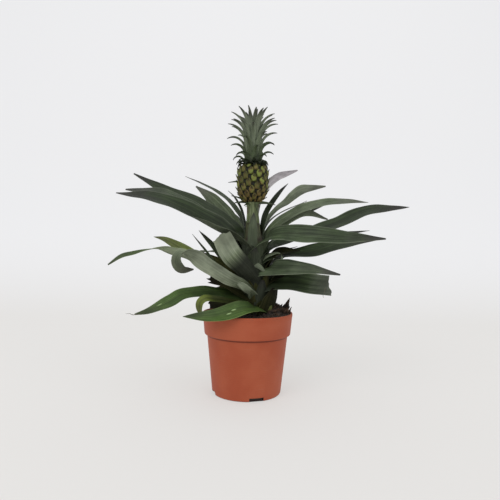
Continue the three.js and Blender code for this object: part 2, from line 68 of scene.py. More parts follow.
# ---- Node trees ---------------------------------------------------------------------------------


def linear(colour: Rgb) -> tuple[float, float, float, float]:
    """Turn an 8-bit display colour into a linear one.

    Args:
        colour: Red, green and blue from 0 to 255.

    Returns:
        Linear red, green, blue and an alpha of 1.
    """
    shares = [channel / 255 for channel in colour]
    red, green, blue = (s / 12.92 if s <= 0.04045 else ((s + 0.055) / 1.055) ** 2.4 for s in shares)
    return red, green, blue, 1.0


def operator(operation: str, swapped: bool = False) -> Callable[["Socket", Value], "Socket"]:
    """Make a method that joins a socket and another value by one Math node.

    Args:
        operation: The node's operation.
        swapped: Put the other value first, as a reflected operator does.

    Returns:
        The method.
    """

    def method(socket: "Socket", other: Value) -> "Socket":
        """Return the operation's result."""
        return socket.graph.math(operation, *((other, socket) if swapped else (socket, other)))

    return method


class Socket:
    """An output of a node that works in Python arithmetic; each operation adds one Math node."""

    __add__, __radd__ = operator("ADD"), operator("ADD", swapped=True)
    __sub__, __rsub__ = operator("SUBTRACT"), operator("SUBTRACT", swapped=True)
    __mul__, __rmul__ = operator("MULTIPLY"), operator("MULTIPLY", swapped=True)
    __truediv__, __rtruediv__ = operator("DIVIDE"), operator("DIVIDE", swapped=True)
    __pow__, __rpow__ = operator("POWER"), operator("POWER", swapped=True)
    at_least, at_most = operator("MAXIMUM"), operator("MINIMUM")

    def __init__(self, graph: "Graph", link: bpy.types.NodeSocket) -> None:
        """Keep the node's output and the graph it belongs to."""
        self.graph = graph
        self.link = link

    def __abs__(self) -> "Socket":
        """Return the distance from zero."""
        return self.graph.math("ABSOLUTE", self)

    def sin(self) -> "Socket":
        """Return the sine of an angle in radians."""
        return self.graph.math("SINE", self)

    def cos(self) -> "Socket":
        """Return the cosine of an angle in radians."""
        return self.graph.math("COSINE", self)

    def step(self, low: float, high: float) -> "Socket":
        """Add a smooth step.

        Args:
            low: Where the step starts.
            high: Where it ends; below low, the step falls.

        Returns:
            A rise from 0 at low to 1 at high.
        """
        if low > high:
            return 1 - self.step(high, low)
        sockets = {"Value": self, "From Min": low, "From Max": high}
        return self.graph.node(
            "ShaderNodeMapRange", sockets, "Result", interpolation_type="SMOOTHSTEP"
        )

    def split(self) -> tuple["Socket", "Socket", "Socket"]:
        """Return the x, y and z of a vector."""
        node = self.graph.node("ShaderNodeSeparateXYZ", {0: self}).link.node
        return tuple(Socket(self.graph, out) for out in node.outputs)


class Graph:
    """Adds nodes to one shader or geometry tree."""

    def __init__(self, tree: bpy.types.NodeTree) -> None:
        """Work on an empty tree."""
        self.tree = tree

    def node(
        self,
        kind: str,
        sockets: Optional[Mapping[Key, Value]] = None,
        output: Key = 0,
        **settings: Any,
    ) -> Socket:
        """Add a node, set it up and plug its inputs.

        Args:
            kind: The node's type name.
            sockets: Values or links by input identifier, name or number.
            output: Which output to return.
            settings: The node's own properties, set before its inputs.

        Returns:
            The chosen output.
        """
        node = self.tree.nodes.new(kind)
        for name, value in settings.items():
            setattr(node, name, value)
        for key, value in (sockets or {}).items():
            self._plug(self._find(node.inputs, key), value)
        return Socket(self, self._find(node.outputs, output))

    def math(self, operation: str, *values: Value) -> Socket:
        """Add one Math node over values or links."""
        return self.node("ShaderNodeMath", dict(enumerate(values)), operation=operation)

    def vector(self, operation: str, *values: Value) -> Socket:
        """Add one Vector Math node over values or links and return its vector."""
        return self.node("ShaderNodeVectorMath", dict(enumerate(values)), operation=operation)

    def length(self, vector: Socket) -> Socket:
        """Return a vector's length."""
        return self.node("ShaderNodeVectorMath", {0: vector}, "Value", operation="LENGTH")

    def scale(self, vector: Socket, amount: Value) -> Socket:
        """Return a vector times a number."""
        sockets = {0: vector, "Scale": amount}
        return self.node("ShaderNodeVectorMath", sockets, operation="SCALE")

    def combine(self, x: Value, y: Value, z: Value) -> Socket:
        """Join three numbers to a vector."""
        return self.node("ShaderNodeCombineXYZ", {0: x, 1: y, 2: z})

    def mix(self, factor: Value, first: Value, second: Value) -> Socket:
        """Blend two colours: a factor of 0 gives the first and 1 the second."""
        sockets = {"Factor_Float": factor, "A_Color": first, "B_Color": second}
        return self.node("ShaderNodeMix", sockets, "Result_Color", data_type="RGBA")

    def noise(self, place: Value, scale: float, detail: float = 2.0) -> Socket:
        """Add a noise pattern and return its height, 0 to 1."""
        sockets = {"Vector": place, "Scale": scale, "Detail": detail}
        return self.node("ShaderNodeTexNoise", sockets, "Fac")

    @staticmethod
    def _find(sockets: bpy.types.bpy_prop_collection, key: Key) -> bpy.types.NodeSocket:
        """Look a socket up by number, identifier or name, in that order.

        Args:
            sockets: A node's inputs or outputs.
            key: The socket's number, identifier or name.

        Returns:
            The socket.
        """
        if isinstance(key, int):
            return sockets[key]
        by_identifier = [s for s in sockets if s.identifier == key]
        return by_identifier[0] if by_identifier else sockets[key]

    def _plug(self, target: bpy.types.NodeSocket, value: Value) -> None:
        """Link a socket or set its own value.

        Args:
            target: The input.
            value: A link, a colour from 0 to 255, or a plain value.
        """
        if isinstance(value, Socket):
            self.tree.links.new(value.link, target)
        elif target.type == "RGBA" and isinstance(value, tuple) and len(value) == 3:
            target.default_value = linear(value)
        else:
            target.default_value = value

class Paint(Graph):
    """The shader tree of one new material."""

    def __init__(self, name: str) -> None:
        """Make an empty material.

        Args:
            name: The material's name.
        """
        self.material = bpy.data.materials.new(name)
        self.material.use_nodes = True
        self.material.node_tree.nodes.clear()
        super().__init__(self.material.node_tree)

    def place(self) -> Socket:
        """Return the point in the object's own metres."""
        return self.node("ShaderNodeTexCoord", output="Object")

    def attribute(self, name: str) -> Socket:
        """Return a number stored on the mesh."""
        return self.node("ShaderNodeAttribute", output="Fac", attribute_name=name)

    def bump(self, height: Value, depth: float, strength: float = 1.0) -> Socket:
        """Return a normal that follows a height from 0 to 1, depth in metres."""
        sockets = {"Height": height, "Distance": depth, "Strength": strength}
        return self.node("ShaderNodeBump", sockets, "Normal")

    def finish(
        self, colour: Value, roughness: Value, normal: Optional[Socket] = None, **extra: Value
    ) -> bpy.types.Material:
        """Close the tree with a surface shader.

        Args:
            colour: Base colour.
            roughness: Roughness from 0 to 1.
            normal: A bumped normal, if there is one.
            extra: Values for further inputs, named with underscores for spaces.

        Returns:
            The finished material.
        """
        sockets = {"Base Color": colour, "Roughness": roughness}
        if normal is not None:
            sockets["Normal"] = normal
        sockets.update({name.replace("_", " "): value for name, value in extra.items()})
        surface = self.node("ShaderNodeBsdfPrincipled", sockets, "BSDF")
        end = self.tree.nodes.new("ShaderNodeOutputMaterial")
        self.tree.links.new(surface.link, end.inputs["Surface"])
        return self.material


class Recipe(Graph):
    """A Geometry Nodes tree with named inputs that is run once to give a plain mesh."""

    KINDS = {int: "NodeSocketInt", float: "NodeSocketFloat"}

    def __init__(self, name: str) -> None:
        """Start an empty tree.

        Args:
            name: The name of the tree and of the piece that it gives.
        """
        self.name = name
        super().__init__(bpy.data.node_groups.new(name, "GeometryNodeTree"))
        interface = self.tree.interface
        interface.new_socket("Geometry", in_out="OUTPUT", socket_type="NodeSocketGeometry")
        self.inlet = self.tree.nodes.new("NodeGroupInput")
        self.amounts: dict[str, Union[int, float, bpy.types.ID]] = {}

    def size(self, name: str, amount: Union[int, float, bpy.types.ID]) -> Socket:
        """Add a named input and remember its amount.

        Args:
            name: The input's name.
            amount: A whole number, a number, a material or an object.

        Returns:
            The input as a socket.
        """
        kind = self.KINDS.get(type(amount), f"NodeSocket{type(amount).__name__}")
        item = self.tree.interface.new_socket(name, in_out="INPUT", socket_type=kind)
        self.amounts[item.identifier] = amount
        return Socket(self, self._find(self.inlet.outputs, item.identifier))

    def stored(self, name: str) -> Socket:
        """Read a number stored on the geometry."""
        kind = "GeometryNodeInputNamedAttribute"
        return self.node(kind, {"Name": name}, "Attribute", data_type="FLOAT")

    def store(self, geometry: Socket, name: str, value: Value, domain: str = "POINT") -> Socket:
        """Store a number on the geometry."""
        kind = "GeometryNodeStoreNamedAttribute"
        sockets = {0: geometry, "Name": name, "Value": value}
        return self.node(kind, sockets, data_type="FLOAT", domain=domain)

    def random(self, low: Value, high: Value, order: Value, seed: int) -> Socket:
        """Return a fixed random number for each order number."""
        sockets = {"Min_001": low, "Max_001": high, "ID": order, "Seed": seed}
        return self.node("FunctionNodeRandomValue", sockets, "Value_001", data_type="FLOAT")

    def ramp(self, place: Value, values: Sequence[float]) -> Socket:
        """Return a number off a list spread evenly over 0 to 1, straight between its numbers.

        Args:
            place: Where to read the list.
            values: The numbers, not all equal.

        Returns:
            The number there.
        """
        low = float(min(values))
        reach = float(max(values)) - low
        read = self.node("ShaderNodeFloatCurve", {"Value": place})
        mapping = read.link.node.mapping
        points = mapping.curves[0].points
        while len(points) < len(values):
            points.new(1.0, 1.0)
        for k, value in enumerate(values):
            points[k].location = (k / (len(values) - 1), (value - low) / reach)
        mapping.update()
        return read * reach + low

    def join(self, *parts: Socket) -> Socket:
        """Join geometries into one.

        Args:
            parts: The geometries, in order.

        Returns:
            All of them.
        """
        both = self.node("GeometryNodeJoinGeometry")
        for part in parts:
            self.tree.links.new(part.link, both.link.node.inputs[0])
        return both

    def move(self, geometry: Socket, place: Socket) -> Socket:
        """Put every point of a geometry at its place, given in millimetres."""
        sockets = {"Geometry": geometry, "Position": self.scale(place, MM)}
        return self.node("GeometryNodeSetPosition", sockets)

    def blades(self, count: Socket, columns: int, rows: int) -> Socket:
        """Make many copies of a flat grid that know their number and their places across and along.

        Args:
            count: How many.
            columns: Corners across each.
            rows: Corners along each.

        Returns:
            The grids as one mesh, with the numbers order, across (-1 to 1) and share (0 to 1).
        """
        sizes = {"Size X": 2.0, "Size Y": 1.0, "Vertices X": columns, "Vertices Y": rows}
        grid = self.node("GeometryNodeMeshGrid", sizes)
        across, share, _ = self.node("GeometryNodeInputPosition").split()
        marked = self.store(self.store(grid, "across", across), "share", share + 0.5)
        points = self.node("GeometryNodePoints", {"Count": count})
        copies = self.node("GeometryNodeInstanceOnPoints", {"Points": points, "Instance": marked})
        counted = self.store(copies, "order", self.node("GeometryNodeInputIndex"), "INSTANCE")
        return self.node("GeometryNodeRealizeInstances", {"Geometry": counted})

    def build(
        self, geometry: Socket, material: bpy.types.Material, wall: float = 0.0
    ) -> bpy.types.Object:
        """Run the tree and keep its result as a plain mesh.

        Args:
            geometry: The last geometry of the tree.
            material: The finish of all its faces.
            wall: Thickness in metres to give a thin sheet, or 0.

        Returns:
            An object at the origin with the finished mesh.
        """
        real = self.node("GeometryNodeRealizeInstances", {"Geometry": geometry})
        smooth = self.node("GeometryNodeSetShadeSmooth", {"Geometry": real})
        finish = self.size("Finish", material)
        painted = self.node("GeometryNodeSetMaterial", {"Geometry": smooth, "Material": finish})
        outlet = self.tree.nodes.new("NodeGroupOutput")
        self.tree.links.new(painted.link, outlet.inputs["Geometry"])
        piece = bpy.data.objects.new(self.name, bpy.data.meshes.new(self.name))
        bpy.context.scene.collection.objects.link(piece)
        steps = piece.modifiers.new("recipe", "NODES")
        steps.node_group = self.tree
        for identifier, amount in self.amounts.items():
            steps[identifier] = amount
        if wall:
            sheet = piece.modifiers.new("wall", "SOLIDIFY")
            sheet.thickness = wall
            sheet.offset = 0.0
        return bake_modifiers(piece)


# ---- Meshes -------------------------------------------------------------------------------------


def bake_modifiers(piece: bpy.types.Object) -> bpy.types.Object:
    """Turn a piece with modifiers into a plain mesh and drop the modifiers.

    Args:
        piece: The piece to change.

    Returns:
        The same piece.
    """
    graph = bpy.context.evaluated_depsgraph_get()
    mesh = bpy.data.meshes.new_from_object(piece.evaluated_get(graph))
    mesh.name = piece.name
    piece.modifiers.clear()
    piece.data = mesh
    return piece


def dress(piece: bpy.types.Object, slot: str, *nodes: str) -> None:
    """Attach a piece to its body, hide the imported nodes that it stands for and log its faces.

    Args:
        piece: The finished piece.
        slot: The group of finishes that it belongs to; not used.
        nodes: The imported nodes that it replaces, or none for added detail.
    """
    if nodes:
        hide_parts(*nodes)
    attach(piece, BODY)
    faces = len(piece.data.polygons)
    log.info("%s: %d faces for %s", piece.name, faces, ", ".join(nodes) or "detail")


def grid_faces(
    rows: int, columns: int, start: int = 0, flip: bool = False, wrap: bool = False
) -> list[tuple[int, ...]]:
    """List the quads of a grid of corners stored row by row.

    Args:
        rows: Number of rows of corners.
        columns: Number of corners in a row.
        start: Number of the first corner.
        flip: Turn the faces over.
        wrap: Join the last column to the first.

    Returns:
        Four corner numbers for each face.
    """
    faces = []
    for row in range(rows - 1):
        for column in range(columns if wrap else columns - 1):
            a = start + row * columns + column
            b = start + row * columns + (column + 1) % columns
            quad = (a, b, b + columns, a + columns)
            faces.append(quad[::-1] if flip else quad)
    return faces


def rounded(outline: Sequence[Triple], steps: int = 5) -> list[tuple[float, float]]:
    """Round the corners of an outline.

    Args:
        outline: Radius, height and corner radius of each point.
        steps: Number of pieces in each rounded corner.

    Returns:
        Radius and height of the points of the rounded outline.
    """
    result = [outline[0][:2]]
    for before, corner, after in zip(outline, outline[1:], outline[2:]):
        at = np.array(corner[:2])
        back = np.array(before[:2]) - at
        on = np.array(after[:2]) - at
        reach = min(corner[2], 0.45 * np.linalg.norm(back), 0.45 * np.linalg.norm(on))
        start = at + back / np.linalg.norm(back) * reach
        end = at + on / np.linalg.norm(on) * reach
        for share in np.linspace(0, 1, steps + 1) if reach > 0 else [0.5]:
            bend = (1 - share) ** 2 * start + 2 * share * (1 - share) * at + share**2 * end
            result.append((float(bend[0]), float(bend[1])))
    result.append(outline[-1][:2])
    return result


def circle(count: int) -> np.ndarray:
    """Return evenly spaced angles of a full turn in radians."""
    return np.arange(count) * 2 * math.pi / count


def along(values: Sequence[float], share: Numbers) -> Numbers:
    """Read a short list, spread evenly over 0 to 1, at a share."""
    return np.interp(share, np.linspace(0, 1, len(values)), values)


def smooth(share: Numbers) -> Numbers:
    """Return a smooth rise from 0 to 1."""
    held = np.clip(share, 0, 1)
    return held * held * (3 - 2 * held)


def unit(vectors: np.ndarray) -> np.ndarray:
    """Scale vectors to length 1 along their last axis."""
    return vectors / np.maximum(np.linalg.norm(vectors, axis=-1, keepdims=True), 1e-9)


class Mesh:
    """Corners, faces and stored numbers of one piece that is put together from several bodies."""

    def __init__(self) -> None:
        """Start empty."""
        self.points: list[np.ndarray] = []
        self.faces: list[tuple[int, ...]] = []
        self.numbers: dict[str, list[np.ndarray]] = {}
        self.count = 0

    def add(
        self, points: np.ndarray, faces: Sequence[Sequence[int]], **numbers: Numbers
    ) -> None:
        """Add a body.

        Args:
            points: Corner positions in millimetres.
            faces: Corner numbers, from 0, of each face.
            numbers: A number for each corner, or one for all, by attribute name.
        """
        for name in {*self.numbers, *numbers}:
            held = self.numbers.setdefault(name, [np.zeros(self.count)] if self.count else [])
            held.append(np.broadcast_to(numbers.get(name, 0.0), len(points)))
        self.points.append(points)
        self.faces += [tuple(int(i) + self.count for i in face) for face in faces]
        self.count += len(points)

    def shell(self, middle: np.ndarray, thick: np.ndarray, **numbers: Numbers) -> None:
        """Add a thin closed sheet.

        Args:
            middle: Points of its middle layer in millimetres, by row and column.
            thick: Thickness at each of them.
            numbers: Numbers over rows and columns, by attribute name.
        """
        rows, columns = middle.shape[:2]
        normal = unit(np.cross(np.gradient(middle, axis=1), np.gradient(middle, axis=0)))
        shift = normal * (thick / 2)[..., None]
        points = np.vstack(((middle + shift).reshape(-1, 3), (middle - shift).reshape(-1, 3)))
        count = rows * columns
        faces = grid_faces(rows, columns) + grid_faces(rows, columns, start=count, flip=True)
        rim = [row * columns for row in range(rows)]
        rim += [(rows - 1) * columns + column for column in range(1, columns)]
        rim += [row * columns + columns - 1 for row in range(rows - 2, -1, -1)]
        rim += list(range(columns - 2, 0, -1))
        faces += [(a + count, a, b, b + count) for a, b in zip(rim, rim[1:] + rim[:1])]
        spread = {
            name: np.tile(np.broadcast_to(value, (rows, columns)).ravel(), 2)
            for name, value in numbers.items()
        }
        self.add(points, faces, under=np.repeat((0.0, 1.0), count), **spread)

    def tube(self, rings: np.ndarray) -> None:
        """Add a closed body over rings of points, both ends closed to a middle point.

        Args:
            rings: Points in millimetres, by ring from its lower end and by corner round it.
        """
        count, sides = rings.shape[:2]
        points = np.vstack((rings.reshape(-1, 3), rings[0].mean(axis=0), rings[-1].mean(axis=0)))
        faces = grid_faces(count, sides, wrap=True)
        first, last, top = count * sides, count * sides + 1, (count - 1) * sides
        for side in range(sides):
            after = (side + 1) % sides
            faces += [(after, side, first), (top + side, top + after, last)]
        self.add(points, faces)

    def piece(
        self, name: str, material: bpy.types.Material, sharp: float = SHARP
    ) -> bpy.types.Object:
        """Make the smooth-shaded object, at the origin.

        Args:
            name: Its name.
            material: Its finish.
            sharp: Edges that turn by more degrees than this stay crisp.

        Returns:
            The object.
        """
        mesh = bpy.data.meshes.new(name)
        mesh.from_pydata((np.vstack(self.points) * MM).tolist(), [], self.faces)
        mesh.materials.append(material)
        for key, values in self.numbers.items():
            joined = np.concatenate(values).astype(np.float32)
            mesh.attributes.new(key, "FLOAT", "POINT").data.foreach_set("value", joined)
        mesh.shade_smooth()
        mesh.set_sharp_from_angle(angle=math.radians(sharp))
        piece = bpy.data.objects.new(name, mesh)
        bpy.context.scene.collection.objects.link(piece)
        return piece


# ---- The plant's axis ---------------------------------------------------------------------------


@dataclass(frozen=True)
class Axis:
    """The line the plant grows along: right of the pot's middle, leaning back over it."""

    top_x: float = 2.4
    offset: float = 14.5
    start_z: float = 110.0
    fade: float = 60.0

    def x(self, z: Numbers) -> Numbers:
        """Return the axis's x at a height, in millimetres."""
        return self.top_x + self.offset * np.exp(-np.maximum(z - self.start_z, 0) / self.fade)

    def x_in(self, recipe: Recipe, z: Socket) -> Socket:
        """Return the same x inside a recipe."""
        rise = (z - self.start_z).at_least(0)
        return self.top_x + self.offset * recipe.math("EXPONENT", rise * (-1 / self.fade))

    def rings(self, radius: np.ndarray, turn: np.ndarray, z: np.ndarray) -> np.ndarray:
        """Return points round the axis at radii, angles and heights, by row and column."""
        x = self.x(z) + radius * np.cos(turn)
        return np.stack((x, radius * np.sin(turn), np.broadcast_to(z, x.shape)), axis=-1)


AXIS = Axis()

# ---- Leaves -------------------------------------------------------------------------------------


class LeafKind(Enum):
    """The three looks a leaf of this plant has."""

    DARK = "leaf_dark"
    GREY = "leaf_grey"
    FRESH = "leaf_fresh"


@dataclass(frozen=True)
class LeafFinish:
    """A strap leaf's skin: long veins, grey bloom, a paler underside and thin pale margins,
    with painted shade where its pale is below 0.

    Each scar is a place across the blade and a distance along it in metres.
    """

    name: str
    upper: Rgb
    vein: Rgb
    under: Rgb
    streak: Rgb
    root: Rgb
    tip: Rgb
    scurf: Rgb = (144, 151, 132)
    margin: Rgb = (150, 158, 136)
    scar: Rgb = (150, 174, 118)
    bloom: float = 0.26
    gloss: float = 0.5
    sheen: float = 0.28
    scars: tuple[tuple[float, float], ...] = ()

    def material(self) -> bpy.types.Material:
        """Build the material.

        Returns:
            A material that reads the numbers stored on a leaf.
        """
        paint = Paint(self.name)
        names = ("across", "length", "share", "under", "tone", "pale")
        across, length, share, under, tone, pale = (paint.attribute(name) for name in names)
        fine_place = paint.combine(across * 30 + tone * 40, length * 11, tone * 9)
        fine = paint.noise(fine_place, 1.0, 3.0)
        broad_place = paint.combine(across * 7 + tone * 17, length * 14, tone * 5)
        grain = fine * 0.6 + paint.noise(broad_place, 1.0) * 0.4
        patch = paint.noise(paint.place(), 42.0, 4.0)
        veins = grain.step(0.4, 0.6)
        upper = paint.mix(veins, self.upper, self.vein)
        upper = paint.mix(abs(across).step(0.3, 0.0) * 0.45, upper, self.root)
        lower = paint.mix(grain.step(0.42, 0.62) * 0.7, self.under, self.streak)
        colour = paint.mix(under, upper, lower)
        haze = pale + (patch - 0.5) * self.bloom + (veins - 0.5) * 0.16
        haze = haze + share.step(0.3, 1.0) * 0.04
        colour = paint.mix(haze.at_least(0).at_most(1), colour, self.scurf)
        colour = paint.mix(share.step(0.22, 0.0) * 0.6, colour, self.root)
        dried = share.step(0.12, 0.0) * (fine * 0.7 + patch * 0.3).step(0.56, 0.66)
        colour = paint.mix(dried * 0.55, colour, self.margin)
        end = (share + (patch - 0.5) * 0.3).step(0.66, 0.98)
        colour = paint.mix(end * 0.8, colour, self.tip)
        edge = (abs(across) + (fine - 0.5) * 0.06).step(0.9, 0.97) * length.step(0.0, 0.02)
        colour = paint.mix(edge * 0.25, colour, self.margin)
        blotch = paint.noise(paint.combine(across + tone * 30, length * 60, tone), 1.0, 3.0)
        slant = 1 + across * (tone - 0.5) * 0.5
        # A pale below 0 scales the colour down as painted shade. The blotches and the slant from
        # edge to edge vary at random.
        colour = paint.scale(colour, (pale + 1).at_most(1) * (0.35 + blotch * 1.3) * slant)
        for place, distance in self.scars:
            offset = paint.combine((across - place) * 16, (length - distance) * 420, 0.0)
            spot = paint.length(offset) + (fine - 0.5) * 2.4
            colour = paint.mix(spot.step(1.5, 0.8), colour, self.scar)
        roughness = self.gloss + under * 0.16 + (patch - 0.5) * 0.2
        bump = paint.bump(grain, 0.0006, 0.6)
        return paint.finish(colour, roughness, bump, Specular_IOR_Level=self.sheen)


LEAF_FINISHES = {
    LeafKind.DARK: LeafFinish(
        "dark_leaf", upper=(36, 48, 25), vein=(62, 77, 47), under=(74, 86, 60),
        streak=(112, 120, 98), root=(32, 41, 20), tip=(54, 50, 50),
    ),
    LeafKind.GREY: LeafFinish(
        "grey_leaf", upper=(60, 73, 45), vein=(82, 95, 64), under=(84, 96, 70),
        streak=(148, 155, 130), root=(52, 64, 34), tip=(88, 88, 80), bloom=0.45, gloss=0.6,
    ),
    LeafKind.FRESH: LeafFinish(
        "fresh_leaf", upper=(54, 78, 30), vein=(82, 106, 48), under=(82, 102, 54),
        streak=(114, 132, 80), root=(50, 64, 24), tip=(58, 66, 42), margin=(150, 166, 104),
        bloom=0.12,
    ),
}


@dataclass(frozen=True)
class Leaf:
    """One leaf: compass angles and reaches from the plant's axis in millimetres and degrees.

    turn is the compass angle at root and tip (0 right, 180 left, 270 front), arc the reach and
    height from root to tip, roll the turn about its own length (plus lifts the right edge, seen
    from the stem), gutter the channel's depth over the width, and tear a ragged end. pale runs
    from root to tip: above 0 it adds grey bloom, below 0 it darkens the leaf as painted shade.
    """

    turn: tuple[float, float]
    arc: tuple[tuple[float, float], ...]
    roll: tuple[float, ...]
    width: float = 0.0
    widths: tuple[float, ...] = ()
    gutter: tuple[float, ...] = (0.14, 0.07)
    tear: tuple[float, ...] = ()
    pale: tuple[float, ...] = (0.0,)
    kind: LeafKind = LeafKind.DARK

    def widest(self) -> float:
        """Return the greatest width in millimetres."""
        return self.width or max(self.widths)

    def knots(self) -> np.ndarray:
        """Place the knots of the middle line.

        Returns:
            Points in millimetres, the first one back inside the stem.
        """
        turns = np.radians(np.linspace(*self.turn, len(self.arc)))
        reach, height = np.array(self.arc, float).T
        x = AXIS.x(height[0]) + reach * np.cos(turns)
        points = np.column_stack((x, reach * np.sin(turns), height))
        back = points[0] + unit(points[0] - points[1]) * ROOT_DEPTH
        return np.vstack((back, points))

    def outline(self, share: np.ndarray) -> np.ndarray:
        """Read the leaf's width.

        Args:
            share: Places along the leaf from 0 to 1.

        Returns:
            Widths in millimetres.
        """
        if self.widths:
            fine = np.linspace(0, 1, 201)
            linear_widths = along(self.widths, fine)
            padded = np.pad(linear_widths, 10, mode="reflect", reflect_type="odd")
            window = np.hanning(23)
            soft = np.convolve(padded, window[1:-1] / window.sum(), mode="same")[10:-10]
            return np.interp(share, fine, soft)
        root = 0.62 + 0.38 * np.sin(math.pi / 2 * np.minimum(1, share / 0.42))
        to_tip = np.clip((share - 0.42) / 0.58, 0, 1) ** 1.25
        return self.width * root * np.maximum(np.cos(math.pi / 2 * to_tip), 0) ** 0.85


def spline(knots: np.ndarray, per_span: int = 60) -> np.ndarray:
    """Draw the centripetal curve through the knots.

    Args:
        knots: Points to pass through.
        per_span: Points on each span.

    Returns:
        Points along the curve.
    """
    p = np.vstack((2 * knots[0] - knots[1], knots, 2 * knots[-1] - knots[-2]))
    out = []
    for a, b, c, d in zip(p, p[1:], p[2:], p[3:]):
        spans = ((a, b), (b, c), (c, d))
        d0, d1, d2 = (max(np.sum((after - before) ** 2) ** 0.25, 1e-4) for before, after in spans)
        start = ((b - a) / d0 - (c - a) / (d0 + d1) + (c - b) / d1) * d1
        end = ((c - b) / d1 - (d - b) / (d1 + d2) + (d - c) / d2) * d1
        w = np.linspace(0, 1, per_span, endpoint=False)[:, None]
        square = -3 * b + 3 * c - 2 * start - end
        cube = 2 * b - 2 * c + start + end
        out.append(b + start * w + square * w**2 + cube * w**3)
    return np.vstack(out + [knots[-1:]])
